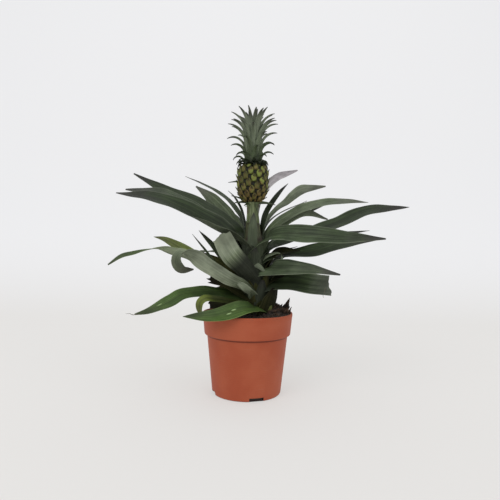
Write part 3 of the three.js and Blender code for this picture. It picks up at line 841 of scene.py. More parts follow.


# A pale below 0 is painted shade: on the roots in the heart of the rosette and on leaves that lie
# under others.
LEAVES = {
    # left, upper
    "left_high": Leaf(
        (152, 168), ((12, 206), (48, 230.5), (88, 252), (132, 272.8), (176, 296)), (35, 58, 52),
        widths=(16, 24, 27, 16, 2), pale=(-0.1,),
    ),
    "left_long": Leaf(
        (215, 197), ((14, 198), (54, 214), (94, 235), (132, 251), (178, 257)), (24, 40, 40),
        widths=(18, 35, 36, 25, 2), gutter=(0.4, 0.42, 0.24, 0.12, 0.08), pale=(-0.4, -0.35, -0.2),
    ),
    "left_under_long": Leaf(
        (181, 177), ((12, 188), (50, 229), (93, 253), (133, 265.5), (177, 269.5)), (10, 40),
        widths=(7, 8, 19, 25, 3), pale=(0, 0.1),
    ),
    "left_back_narrow": Leaf(
        (130, 140), ((9, 214), (26, 237), (53, 262), (92, 283), (138, 302)), (10, 10), width=9,
        pale=(-0.2, 0),
    ),
    "left_back_wide": Leaf(
        (135, 155), ((12, 204), (39, 229), (62, 253), (76, 267), (92, 280)), (50, 60),
        widths=(9, 17, 22, 18, 2), kind=LeafKind.GREY, pale=(0, 0.15),
    ),
    "left_stalk": Leaf(
        (160, 170), ((9, 222), (18, 247), (27, 262), (35, 270)), (20, 20), width=6, pale=(-0.3,),
    ),
    "left_spike_low": Leaf(
        (215, 215), ((16, 148), (57, 166), (79, 189), (97, 208)), (60, 65), width=5.5,
    ),
    "left_spike_high": Leaf(
        (200, 200), ((14, 163), (42, 176), (61, 197), (78, 214)), (75, 80), width=9,
    ),
    # left, lower
    "left_hooked": Leaf(
        (238, 216),
        (
            (15, 138), (57, 151.3), (80, 161.3), (100, 171.8), (115, 181.5), (126, 184.8),
            (128, 180.8), (126.3, 174.8), (121, 169), (111.5, 165), (97, 165),
        ),
        (-30, -35, -45, -50, -50, -50, -45, -20, 20, 40, 50),
        widths=(12, 15, 17, 18, 18, 19, 20, 19, 17, 14, 2), kind=LeafKind.GREY,
        pale=(-0.75, -0.4, 0.15, 0.5, 0.6, 0.65, 0.5, 0.1, -0.1, -0.1),
    ),
    "left_yellow": Leaf(
        (149, 155),
        ((14, 152), (55, 154), (95, 174), (120.5, 188), (134.5, 196), (151, 203.5), (170, 207.3)),
        (30, 45), width=22, pale=(0, 0.1), kind=LeafKind.FRESH,
    ),
    "left_twisted": Leaf(
        (190, 184),
        (
            (13, 146), (33, 151.7), (73.5, 172.3), (95.5, 183), (109.5, 185.2), (119.3, 188),
            (132.4, 189.6), (147.6, 187), (163, 183), (178, 179), (196, 167),
        ),
        (-35, -45, -45, -50, -60, -60, -60, 10, 50, 60, 60),
        widths=(9, 11, 12, 12, 13, 14, 11, 5, 6, 7, 2), kind=LeafKind.FRESH,
        pale=(0, 0, 0.2, 0.35, 0.5, 0.3, 0.1, 0, 0),
    ),
    "left_green": Leaf(
        (196, 200),
        (
            (16, 128), (57, 132), (72.1, 134.5), (90.5, 133.5), (103.6, 131.1), (116.3, 123.8),
            (130.8, 117.4), (145.6, 111.7), (160.8, 108.6),
        ),
        (40, 50, 50), widths=(14, 18, 20, 17, 16, 18, 17, 10, 2), kind=LeafKind.FRESH,
        pale=(-0.65, -0.65, -0.6, -0.5, -0.15, 0, 0, 0),
    ),
    "left_curl": Leaf(
        (229, 213),
        (
            (15, 119), (53.5, 124.2), (76.1, 128.6), (88.6, 130.2), (92.9, 125.7), (91.5, 116.6),
            (84.9, 105.8),
        ),
        (20, 30, 40, 50, 60), widths=(11, 11, 11, 11, 10, 9, 2), kind=LeafKind.FRESH,
        pale=(-0.85, -0.85, -0.85, -0.85, -0.85, -0.8, -0.15, 0.1, 0),
    ),
    "left_over_rim": Leaf(
        (265, 210), ((14, 114), (57, 118), (81, 110), (110, 107)), (35, 45), width=21,
        kind=LeafKind.FRESH, pale=(-0.5, -0.25, -0.1, 0, 0),
    ),
    "left_shade": Leaf((157, 163), ((14, 134), (40, 144), (68, 152)), (40, 60), widths=(9, 20, 3)),
    "left_shade_low": Leaf(
        (148, 142), ((14, 122), (42, 136), (72, 134)), (40, 40), widths=(12, 20, 3),
    ),
    # right, upper
    "back_pale": Leaf(
        (84, 58), ((10, 213), (30, 261), (79, 298), (132, 319)), (-40, -60),
        widths=(7, 8, 9, 11, 11, 2), kind=LeafKind.GREY, pale=(0.6, 0.95),
    ),
    "right_spear": Leaf(
        (20, 25), ((9, 215), (20, 243), (30, 259), (42, 273.5), (53, 284)), (-40, -40), width=8.5,
        pale=(-0.5,),
    ),
    "right_bent": Leaf(
        (64, 38),
        (
            (11, 211), (44, 237), (65, 253), (80, 262.5), (88, 271.5), (101.5, 282), (118.5, 286.5),
            (141, 290.5),
        ),
        (-30, -60, -75), widths=(5, 6, 6, 6, 8, 13, 15, 9, 2), kind=LeafKind.GREY,
        pale=(0.3, 0.3, 0.4, 0.5),
    ),
    "right_thin": Leaf((38, 27), ((11, 213), (37, 238), (86, 262)), (0, 0), width=5, pale=(-0.2,)),
    "right_arched": Leaf(
        (18, 12), ((10, 203), (40, 231), (82, 253), (126, 261), (167, 261)), (-30, -50), width=17,
        kind=LeafKind.GREY, pale=(0.1, 0.3),
    ),
    "right_short": Leaf(
        (30, 20), ((10, 196), (47, 228), (79, 244), (113, 236)), (-20, -50, -85),
        widths=(8, 11, 12, 11, 2), pale=(0, 0.2, 0.3, 0.2), kind=LeafKind.GREY,
    ),
    "right_sliver": Leaf(
        (38, 30), ((12, 196), (62, 231), (130, 263)), (-40, -60), width=5, pale=(-0.1,),
    ),
    "right_long": Leaf(
        (-10, 3), ((11, 190), (55, 207), (108, 226), (150, 245), (213, 253)), (-30, -55), width=23,
        pale=(-0.4, -0.35, -0.2),
    ),
    # right, lower
    "right_front": Leaf(
        (300, 333), ((13, 197), (43, 210), (90, 210), (131, 207), (173, 206)), (-40, -65, -60),
        widths=(16, 24, 24, 16, 2),
    ),
    "right_small": Leaf(
        (0, 5), ((10, 187), (45, 203), (90, 212), (130, 216), (160, 220)), (-40, -80), width=7,
        pale=(-0.1,),
    ),
    "right_dark": Leaf(
        (346, 346), ((12, 180), (42, 184), (82, 190), (120, 201), (162, 207)), (-20, -60),
        widths=(14, 20, 27, 17, 2), pale=(-0.4, -0.15, -0.1),
    ),
    "right_low": Leaf(
        (312, 322), ((14, 164), (48, 167.5), (88, 168), (126, 163)), (-50, -62),
        widths=(20, 26, 24, 17, 9, 2), pale=(0.1, 0.1, 0.1, 0.15),
    ),
    "right_broken": Leaf(
        (345, 338), ((15, 146.5), (47, 150), (80, 147), (99, 146.5)), (-50, -65),
        widths=(26, 30, 29, 27), tear=(-3, -3, 0, 4.5, 7), pale=(-0.6, -0.45, -0.3, 0.05, 0.25),
    ),
    # front
    "front_torn": Leaf(
        (260, 225), ((14, 150), (36, 164), (56, 183), (64, 206)), (-10, -40, -45, -30),
        widths=(14, 24, 27, 26), gutter=(0.2, 0.1), tear=(-1, 1, 3, 0, 1), kind=LeafKind.GREY,
        pale=(-0.85, -0.85, -0.85, -0.85, -0.85, -0.3, 0.5, 0.5, 0.5),
    ),
    "front_stalk": Leaf(
        (262, 268), ((11, 196), (14, 216), (11, 240)), (0, 0), width=12, pale=(-0.5, -0.3, -0.2),
    ),
    "front_sheath": Leaf(
        (266, 266), ((14, 161), (17, 178), (20, 194)), (0, 0), widths=(11, 20, 4),
        gutter=(0.3, 0.15), pale=(-0.75, -0.5),
    ),
    "right_sheath": Leaf(
        (283, 283), ((15, 124), (19, 138), (22, 151)), (0, 0), widths=(12, 19, 4),
        gutter=(0.3, 0.15), pale=(-0.75,),
    ),
    # far side
    "back_1": Leaf((120, 122), ((12, 198), (60, 234), (105, 254), (150, 262)), (10, 10), width=20),
    "back_2": Leaf((72, 70), ((12, 186), (60, 212), (105, 220), (150, 216)), (0, 0), width=22),
    "back_3": Leaf((48, 45), ((12, 183), (60, 208), (110, 219), (160, 219)), (0, 0), width=20),
    "back_4": Leaf((98, 95), ((12, 172), (55, 198), (100, 208), (150, 204)), (0, 0), width=22),
    "back_5": Leaf((135, 135), ((14, 163), (60, 182), (105, 186), (150, 176)), (0, 0), width=21),
    "back_6": Leaf((30, 30), ((14, 164), (55, 184), (90, 191), (120, 190)), (0, 0), width=18),
    "back_7": Leaf((60, 60), ((14, 150), (50, 170), (90, 174), (125, 165)), (0, 0), width=20),
    "back_8": Leaf((108, 105), ((14, 146), (50, 164), (85, 168), (115, 158)), (0, 0), width=20),
    "back_9": Leaf((82, 80), ((14, 128), (50, 146), (85, 150), (112, 142)), (0, 0), width=18),
}

# Old leaves, leaf bases, shaded leaves and dried strips round the stem. Most are painted
# darker by a pale below 0: painted shade over the old leaves' and bases' own dull colour, and
# the shade_ leaves are painted dark as shade.
STUBS = {
    "dead_back_left": Leaf(
        (160, 158), ((14, 118), (40, 130), (71, 129)), (60, 60), widths=(14, 28, 26, 12),
        tear=(2, -3, 3, -4, 1), pale=(-0.7,),
    ),
    "dead_left": Leaf(
        (175, 172), ((14, 114), (40, 120), (70, 116)), (60, 70), widths=(14, 28, 28, 14),
        tear=(-1, -4, 2, -3, 3), pale=(-0.7,),
    ),
    "dead_front_left": Leaf(
        (190, 192), ((14, 110), (34, 114), (56, 110)), (60, 60), widths=(12, 18, 14, 3),
        pale=(-0.7,),
    ),
    "dead_left_high": Leaf(
        (195, 197), ((14, 130), (42, 147), (66, 151)), (60, 60), widths=(14, 25, 21, 12),
        tear=(3, -3, 4, -3, 2), pale=(-0.7,),
    ),
    "shade_left": Leaf(
        (172, 168), ((12, 180), (34, 208), (64, 230)), (20, 30), widths=(12, 20, 16, 3),
        pale=(-0.7,),
    ),
    "shade_middle": Leaf(
        (350, 340), ((13, 172), (30, 186), (62, 190)), (-30, -30), widths=(16, 26, 18, 3),
        pale=(-0.7,),
    ),
    "shade_front": Leaf(
        (215, 208), ((14, 150), (45.6, 161.3), (56.7, 170.3), (68.8, 179.1), (79.0, 185.3)),
        (-30, -40, -45), widths=(14, 20, 22, 16, 3), pale=(-0.6, -0.5, -0.4, -0.4),
    ),
    "shade_right": Leaf(
        (24, 30), ((13, 172), (40, 187), (70, 196)), (0, 10), widths=(14, 24, 18, 3), pale=(-0.7,),
    ),
    "shade_right_low": Leaf(
        (8, 10), ((14, 152), (40, 162), (72, 163)), (0, 10), widths=(14, 26, 18, 3), pale=(-0.7,),
    ),
    "fold": Leaf(
        (252, 231), ((15, 134), (30, 139), (44, 148), (54, 156)), (-50, -70, -75),
        widths=(8, 9, 10, 7, 2), pale=(-0.3, 0.3, 0.45, 0.45), kind=LeafKind.GREY,
    ),
    "base_front": Leaf(
        (252, 250), ((14.5, 122), (17.5, 142), (19, 160)), (0, 0), widths=(18, 22, 14, 3),
        gutter=(0.3, 0.2), pale=(-0.6, -0.6, -0.4),
    ),
    "base_right": Leaf(
        (300, 303), ((14.5, 126), (18.5, 146), (21, 163)), (0, 0), widths=(16, 20, 12, 3),
        gutter=(0.3, 0.2), pale=(-0.65, -0.6),
    ),
    "base_low": Leaf(
        (304, 309), ((14.5, 104), (18, 116), (19.5, 128)), (0, 0), widths=(20, 20, 12, 4),
        pale=(-0.35,), kind=LeafKind.FRESH,
    ),
    "base_far_right": Leaf(
        (314, 322), ((14, 104), (19, 122), (24, 141)), (0, -10), widths=(28, 36, 36, 20),
        pale=(-0.8,),
    ),
    "shade_low_right": Leaf(
        (350, 345), ((13, 150), (25, 155), (38, 156)), (-40, -40), widths=(20, 26, 18, 3),
        pale=(-0.8,),
    ),
    "strip_across": Leaf(
        (285, 324), ((14, 172), (19, 168), (24, 161.5), (31, 158.5), (42, 159)), (-20, -40),
        widths=(2, 2.4, 2.4, 2, 1), pale=(0.4,), kind=LeafKind.GREY,
    ),
    "strip_down": Leaf(
        (345, 320), ((30, 184), (42, 188), (42, 181), (39, 172), (37, 166)), (-30, -60),
        widths=(2, 2.5, 2.5, 2.2, 1), pale=(0.4,), kind=LeafKind.GREY,
    ),
    "base_low_front": Leaf(
        (278, 275), ((14, 108), (16, 116), (18, 123)), (0, 0), widths=(16, 15, 8, 3),
        kind=LeafKind.FRESH,
    ),
}

YELLOWING = replace(
    LEAF_FINISHES[LeafKind.FRESH], name="yellowing_leaf", upper=(96, 112, 34), vein=(124, 136, 56),
    under=(108, 118, 58), streak=(140, 148, 84), root=(58, 68, 32), tip=(74, 74, 40),
)

OLD = replace(
    LEAF_FINISHES[LeafKind.DARK], name="old_leaf", upper=(50, 56, 24), vein=(92, 92, 48),
    under=(66, 72, 34), streak=(112, 108, 68), root=(56, 62, 22), tip=(52, 46, 34),
    margin=(150, 150, 108), gloss=0.75, sheen=0.12,
)

def variant(kind: LeafKind, name: str, **changes: Any) -> LeafFinish:
    """Return a named finish that differs in a few values from the one of its kind."""
    return replace(LEAF_FINISHES[kind], name=name, **changes)


OWN_FINISHES = {
    **{name: OLD for name in STUBS if not name.startswith("strip")},
    "base_low": YELLOWING,
    "base_low_front": YELLOWING,
    "fold": LEAF_FINISHES[LeafKind.GREY],
    "front_torn": variant(LeafKind.GREY, "torn_leaf", tip=(124, 130, 110)),
    "right_broken": variant(LeafKind.DARK, "broken_leaf", tip=(86, 90, 80)),
    "left_green": variant(LeafKind.FRESH, "scarred_leaf", scars=((0.25, 0.118),)),
    "left_over_rim": variant(
        LeafKind.FRESH, "spotted_leaf", scars=((0.1, 0.056), (-0.2, 0.063))
    ),
    "left_yellow": YELLOWING,
    "left_curl": YELLOWING,
    "left_twisted": variant(LeafKind.FRESH, "twisted_leaf", under=(104, 112, 88)),
    "back_pale": variant(
        LeafKind.GREY, "faded_leaf", scurf=(178, 172, 175), tip=(150, 144, 146)
    ),
}


@dataclass
class Rosette:
    """The leaves, each with a sheath that clasps the stem below its root."""

    rows: int = 46
    columns: int = 11
    narrow: float = 10.0
    narrow_columns: int = 7
    sheath_rows: int = 8
    sheath_height: float = 19.0
    sheath_gap: float = 0.4
    sheath_flare: float = 2.0
    sheath_opening: float = 3.0
    climb: float = 0.25
    wrap: float = 0.72
    least_wrap: float = 9.0
    narrowing: float = 0.35
    drop: float = 16.0
    drop_width: float = 20.0
    lowest: float = 99.0
    bend: float = 24.0
    middle: float = 1.3
    edge: float = 0.45
    thinning: float = 0.45
    least_width: float = 0.35
    ripple: float = 0.55
    right_wave: float = 47.0
    left_wave: float = 39.0
    calm_length: float = 40.0
    calm_width: float = 14.0
    cup: float = 1.6
    fray: float = 0.8

    def build(self, stem: "Stem") -> None:
        """Make every leaf and name the node it stands for.

        Args:
            stem: The stem that the sheaths clasp.
        """
        materials = {kind: finish.material() for kind, finish in LEAF_FINISHES.items()}
        own = {finish.name: finish.material() for finish in OWN_FINISHES.values()}
        for number, (name, leaf) in enumerate({**LEAVES, **STUBS}.items()):
            finish = OWN_FINISHES.get(name)
            material = own[finish.name] if finish else materials[leaf.kind]
            tone = (number * 0.618034) % 1
            piece = self.leaf(name, leaf, stem, material, tone)
            dress(piece, leaf.kind.value, *([f"leaf_{name}"] if name in LEAVES else []))

    def leaf(
        self, name: str, leaf: Leaf, stem: "Stem", material: bpy.types.Material, tone: float
    ) -> bpy.types.Object:
        """Make one leaf as a closed thin shell.

        Args:
            name: The leaf's name.
            leaf: Its sizes.
            stem: The stem that its sheath clasps.
            material: Its finish.
            tone: A number from 0 to 1 that sets its pattern apart from the others'.

        Returns:
            The leaf's object.
        """
        columns = self.columns if leaf.widest() > self.narrow else self.narrow_columns
        s = np.linspace(-1, 1, columns)
        middle, share, length = self.surface(leaf, stem, s, tone)
        thick = self.edge + (self.middle - self.edge) * (1 - s**2)
        thick = thick * (1 - self.thinning * share)[:, None]
        numbers = {"length": length * MM, "share": share, "pale": along(leaf.pale, share)}
        columns_of = {key: values[:, None] for key, values in numbers.items()}
        sheet = Mesh()
        sheet.shell(middle, thick, across=s[None], tone=tone, **columns_of)
        return sheet.piece(name, material)

    def surface(
        self, leaf: Leaf, stem: "Stem", s: np.ndarray, tone: float
    ) -> tuple[np.ndarray, np.ndarray, np.ndarray]:
        """Place the middle of the leaf's thickness.

        Args:
            leaf: The leaf's sizes.
            stem: The stem that the sheath clasps.
            s: Places across the blade from -1 to 1.
            tone: Shifts the ripples.

        Returns:
            Points by row and column in millimetres, then each row's share and length.
        """
        line = spline(leaf.knots())
        steps = np.concatenate(([0], np.cumsum(np.linalg.norm(np.diff(line, axis=0), axis=1))))
        total = steps[-1]
        share = np.linspace(ROOT_DEPTH / total, 1, self.rows)
        centre = np.column_stack([np.interp(share * total, steps, line[:, k]) for k in range(3)])
        tangent = unit(np.gradient(centre, axis=0))
        turn = np.radians(along(leaf.turn, share))
        flat = np.column_stack((np.sin(turn), -np.cos(turn), np.zeros(self.rows)))
        flat = unit(flat - tangent * np.sum(flat * tangent, axis=1, keepdims=True))
        face = np.cross(flat, tangent)
        roll = np.radians(along(leaf.roll, share))[:, None]
        side = flat * np.cos(roll) + face * np.sin(roll)
        up = face * np.cos(roll) - flat * np.sin(roll)
        width = np.maximum(leaf.outline(share), self.least_width)
        length = share * total - ROOT_DEPTH
        lift = (along(leaf.gutter, share) * width)[:, None] * np.abs(s) ** self.cup
        lift = lift + self.ripples(length, width, s, tone)
        blade = centre[:, None] + side[:, None] * (width[:, None] * s / 2)[..., None]
        blade = blade + up[:, None] * lift[..., None]
        if leaf.tear:
            ragged = along(leaf.tear, (s + 1) / 2) + self.fray * np.sin(s * 23 + tone * 40)
            blade[-1] += tangent[-1] * ragged[:, None]
        held = self.clasp(leaf, stem, s, length / self.bend)
        blade = held + (blade - held) * smooth(length / self.bend)[:, None, None]
        depth = np.linspace(-1, 0, self.sheath_rows, endpoint=False) * self.sheath_height
        sheath = self.clasp(leaf, stem, s, depth / self.bend)
        shares = np.concatenate((np.zeros(self.sheath_rows), share))
        return np.concatenate((sheath, blade)), shares, np.concatenate((depth, length))

    def ripples(
        self, length: np.ndarray, width: np.ndarray, s: np.ndarray, tone: float
    ) -> np.ndarray:
        """Wave the two edges of a blade, each with its own wave length.

        Args:
            length: Distance from the root at each row.
            width: Width at each row.
            s: Places across the blade from -1 to 1.
            tone: Shifts the waves.

        Returns:
            Heights in millimetres by row and column.
        """
        right = np.sin(2 * math.pi * (length / self.right_wave + tone * 5))[:, None] * (s > 0)
        left = np.sin(2 * math.pi * (length / self.left_wave + tone * 9))[:, None] * (s <= 0)
        held = smooth(length / self.calm_length) * np.minimum(1, width / self.calm_width)
        return self.ripple * (right + left) * np.abs(s) ** 3 * held[:, None]

    def clasp(self, leaf: Leaf, stem: "Stem", s: np.ndarray, past: np.ndarray) -> np.ndarray:
        """Place points round the stem where a sheath runs.

        Args:
            leaf: The leaf's sizes.
            stem: The stem.
            s: Places across from -1 to 1.
            past: Distance past the root over the bend's length; minus is below the root.

        Returns:
            Points by row and column in millimetres.
        """
        above = np.maximum(past, 0)
        z = leaf.arc[0][1] + np.where(past > 0, self.climb * self.bend * above, past * self.bend)
        share = np.clip(1 + past * self.bend / self.sheath_height, 0, 1)
        radius = stem.radius(z) + self.sheath_gap + self.sheath_flare * share**1.5
        radius = radius + self.sheath_opening * above
        half = max(self.wrap * leaf.widest(), self.least_wrap) * (0.9 + 0.1 * share)
        half = half * (1 - self.narrowing * np.minimum(above, 1))
        turn = math.radians(leaf.turn[0]) - (half / radius)[:, None] * s
        slope = self.drop * (half / self.drop_width)[:, None] * np.abs(s) ** 1.5
        return AXIS.rings(radius[:, None], turn, np.maximum(z[:, None] - slope, self.lowest))


@dataclass(frozen=True)
class Threads:
    """Dried threads: steps in millimetres from the tips of the leaves that they hang on."""

    radius: float = 0.55
    sides: int = 6
    threads: tuple[tuple[str, tuple[Triple, ...]], ...] = (
        ("left_green", ((3, 0, 0.6), (-2, 0, -0.6), (-6, 0, 0.8), (-11, 0, 0.6))),
        ("right_broken", ((-5, -2, -2), (-6, -3, -7), (-8, -3, -11), (-7, -3, -15))),
    )

    def build(self) -> None:
        """Make the threads as one piece."""
        mesh = Mesh()
        turn = circle(self.sides)[None, :, None]
        for name, steps in self.threads:
            line = spline(LEAVES[name].knots()[-1] + np.array(steps, float), 6)
            taper = 1 - 0.7 * np.linspace(0, 1, len(line))
            ahead = unit(np.gradient(line, axis=0))
            side = unit(np.cross(ahead, UP + (0.3, 0, 0)))
            up = np.cross(side, ahead)
            around = side[:, None] * np.cos(turn) + up[:, None] * np.sin(turn)
            mesh.tube(line[:, None] + around * (self.radius * taper)[:, None, None])
        paint = Paint("dried_thread")
        streak = paint.noise(paint.place(), 300.0)
        colour = paint.mix(streak, (66, 64, 54), (128, 124, 104))
        dress(mesh.piece("dried_threads", paint.finish(colour, 0.8)), LeafKind.GREY.value)


# ---- Stem and flower stalk ----------------------------------------------------------------------


@dataclass(frozen=True)
class BarkFinish:
    """Green tissue that dries to brown in streaks."""

    name: str
    green: Rgb
    pale: Rgb
    dry: Rgb
    dryness: float

    def material(self) -> bpy.types.Material:
        """Build the material in the object's own space.

        Returns:
            The material.
        """
        paint = Paint(self.name)
        place = paint.place()
        x, y, z = place.split()
        streak = paint.noise(paint.combine(x * 420, y * 420, z * 40), 1.0, 3.0)
        patch = paint.noise(place, 90.0, 4.0)
        colour = paint.mix(streak.step(0.4, 0.65), self.green, self.pale)
        dried = (patch + streak * 0.35).step(0.78 - self.dryness * 0.4, 0.86)
        colour = paint.mix(dried, colour, self.dry)
        return paint.finish(colour, 0.55 + patch * 0.2, paint.bump(streak, 0.0006, 0.7))


@dataclass
class Stem:
    """The short stem: a foot in the soil, a body with rings of old leaf bases, and a neck."""

    foot_z: float = 62.0
    top_z: float = 226.0
    foot_r: float = 12.5
    body_r: float = 15.0
    neck_r: float = 9.5
    soil_z: float = 111.0
    flare: float = 14.0
    neck: float = 40.0
    ridge: float = 1.3
    ridge_pitch: float = 15.0
    wander: float = 0.03
    rows: int = 110
    sides: int = 64

    def radius(self, z: Numbers) -> Numbers:
        """Return the smooth radius at a height, both in millimetres."""
        body = self.foot_r + (self.body_r - self.foot_r) * smooth((z - self.soil_z) / self.flare)
        return body + (self.neck_r - body) * smooth((z - self.top_z + self.neck) / self.neck)

    def build(self) -> None:
        """Make the stem with its saw-tooth of old leaf bases."""
        z = np.linspace(self.foot_z, self.top_z, self.rows)[:, None]
        turn = circle(self.sides)
        rise = smooth((z - self.soil_z) / self.flare)
        rise = rise * (1 - smooth((z - self.top_z + self.neck) / self.neck))
        winding = self.wander * np.sin(turn * 5 + z)
        phase = (z / self.ridge_pitch + turn / (2 * math.pi) + winding) % 1
        mesh = Mesh()
        mesh.tube(AXIS.rings(self.radius(z) + self.ridge * rise * phase, turn, z))
        finish = BarkFinish("stem_skin", (56, 62, 36), (92, 98, 62), (52, 42, 30), dryness=0.5)
        dress(mesh.piece("stem", finish.material()), "stem", "stem")


@dataclass(frozen=True)
class Bract:
    """A small pointed leaf: compass angle, length, height of its root and slope there."""

    turn: float
    length: float
    z: float
    rise: float


@dataclass
class Peduncle:
    """The fluted stalk under the fruit, with a few bracts."""

    low_z: float = 226.3
    top_z: float = 254.0
    radius: float = 7.6
    base_r: float = 8.8
    flutes: int = 9
    flute: float = 0.5
    collar: float = 0.9
    width: float = 6.4
    bend: float = -22.0
    sunk: float = 4.0
    cup: float = 0.45
    edge: float = 0.35
    middle: float = 0.6
    bracts: tuple[Bract, ...] = (
        Bract(0, 27, 252.5, 8), Bract(180, 23, 253, 9), Bract(-50, 13, 250, -40),
        Bract(62, 18, 251, 8), Bract(118, 18, 250, 10), Bract(182, 29, 279.5, 12),
        Bract(235, 16, 251, 0), Bract(300, 11, 252, -8), Bract(200, 28, 252, 30),
    )

    def build(self) -> None:
        """Make the stalk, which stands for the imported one, and its bracts."""
        share = np.linspace(0, 1, 36)[:, None]
        turn = circle(56)
        z = self.low_z + (self.top_z - self.low_z) * share
        radius = self.base_r + (self.radius - self.base_r) * smooth(share * 2)
        radius = radius + self.flute * np.cos(self.flutes * turn + 1.5 * share)
        radius = radius + self.collar * smooth(share * 6 - 5)
        mesh = Mesh()
        mesh.tube(AXIS.rings(radius, turn, z))
        finish = BarkFinish("stalk_skin", (78, 90, 54), (114, 124, 86), (84, 76, 54), dryness=0.15)
        dress(mesh.piece("stalk", finish.material()), "peduncle", "peduncle")
        small = Mesh()
        for bract in self.bracts:
            self.blade(small, bract)
        skin = variant(LeafKind.DARK, "bract_leaf").material()
        dress(small.piece("stalk_bracts", skin), "peduncle")

    def blade(self, mesh: Mesh, bract: Bract) -> None:
        """Add one bract.

        Args:
            mesh: The piece to add it to.
            bract: Its sizes.
        """
        s = np.linspace(-1, 1, 7)
        share = np.linspace(0, 1, 16)
        slope = np.radians(bract.rise + self.bend * share / 2)[:, None]
        turn = math.radians(bract.turn)
        out = np.array((math.cos(turn), math.sin(turn), 0))
        side = np.array((math.sin(turn), -math.cos(turn), 0))
        reach = (bract.length * share)[:, None]
        start = np.array((AXIS.x(bract.z), 0, bract.z)) + out * self.sunk
        centre = start + out * (reach * np.cos(slope)) + UP * (reach * np.sin(slope))
        half = (self.width / 2 * (1 - 0.88 * share**1.3))[:, None]
        side = unit(side * 0.75 + UP * 0.66)
        across, cup = half * s, half * self.cup * s**2
        middle = centre[:, None] + side * across[..., None] + UP * cup[..., None]
        thick = (self.edge + self.middle * (1 - s**2)) * (1 - 0.5 * share)[:, None]
        numbers = {"across": s[None], "length": reach * MM, "share": share[:, None]}
        mesh.shell(middle, thick, tone=bract.turn / 360, **numbers)


# ---- Fruit --------------------------------------------------------------------------------------


@dataclass(frozen=True)
class FruitFinish:
    """Unripe skin: painted shade in the grooves, olive and yellow-green eyes, tan low down,
    brown bract tips.
    """

    groove: Rgb = (20, 20, 8)
    olive: Rgb = (76, 82, 34)
    lime: Rgb = (122, 134, 58)
    tan: Rgb = (112, 86, 52)
    bract: Rgb = (92, 84, 40)
    point: Rgb = (34, 26, 16)
    speck: Rgb = (150, 148, 96)

    def material(self) -> bpy.types.Material:
        """Build the material.

        Returns:
            A material that reads the numbers stored on the fruit.
        """
        paint = Paint("fruit_skin")
        names = ("eye", "tone", "share", "bract")
        eye, tone, share, bract = (paint.attribute(name) for name in names)
        speck = paint.noise(paint.place(), 900.0, 3.0)
        blotch = paint.noise(paint.place(), 160.0, 3.0)
        colour = paint.mix(tone.step(0.2, 0.9), self.olive, self.lime)
        low = paint.place().split()[2].step(0.285, 0.262)
        tanned = (blotch + tone * 0.2 + low * 0.25).step(0.58, 0.85)
        colour = paint.mix(tanned * 0.75, colour, self.tan)
        # Painted shade: the grooves between the eyes are darkened to near black.
        colour = paint.mix(eye.step(0.4, 0.06), colour, self.groove)
        scale = paint.mix(share.step(0.45, 0.95), self.bract, self.point)
        colour = paint.mix(bract * 0.85, colour, scale)
        colour = paint.mix(speck.step(0.62, 0.74) * 0.25, colour, self.speck)
        bump = paint.bump(speck * 0.5 + blotch * 0.5, 0.0005, 0.6)
        return paint.finish(colour, 0.5 + speck * 0.2, bump, Specular_IOR_Level=0.3)


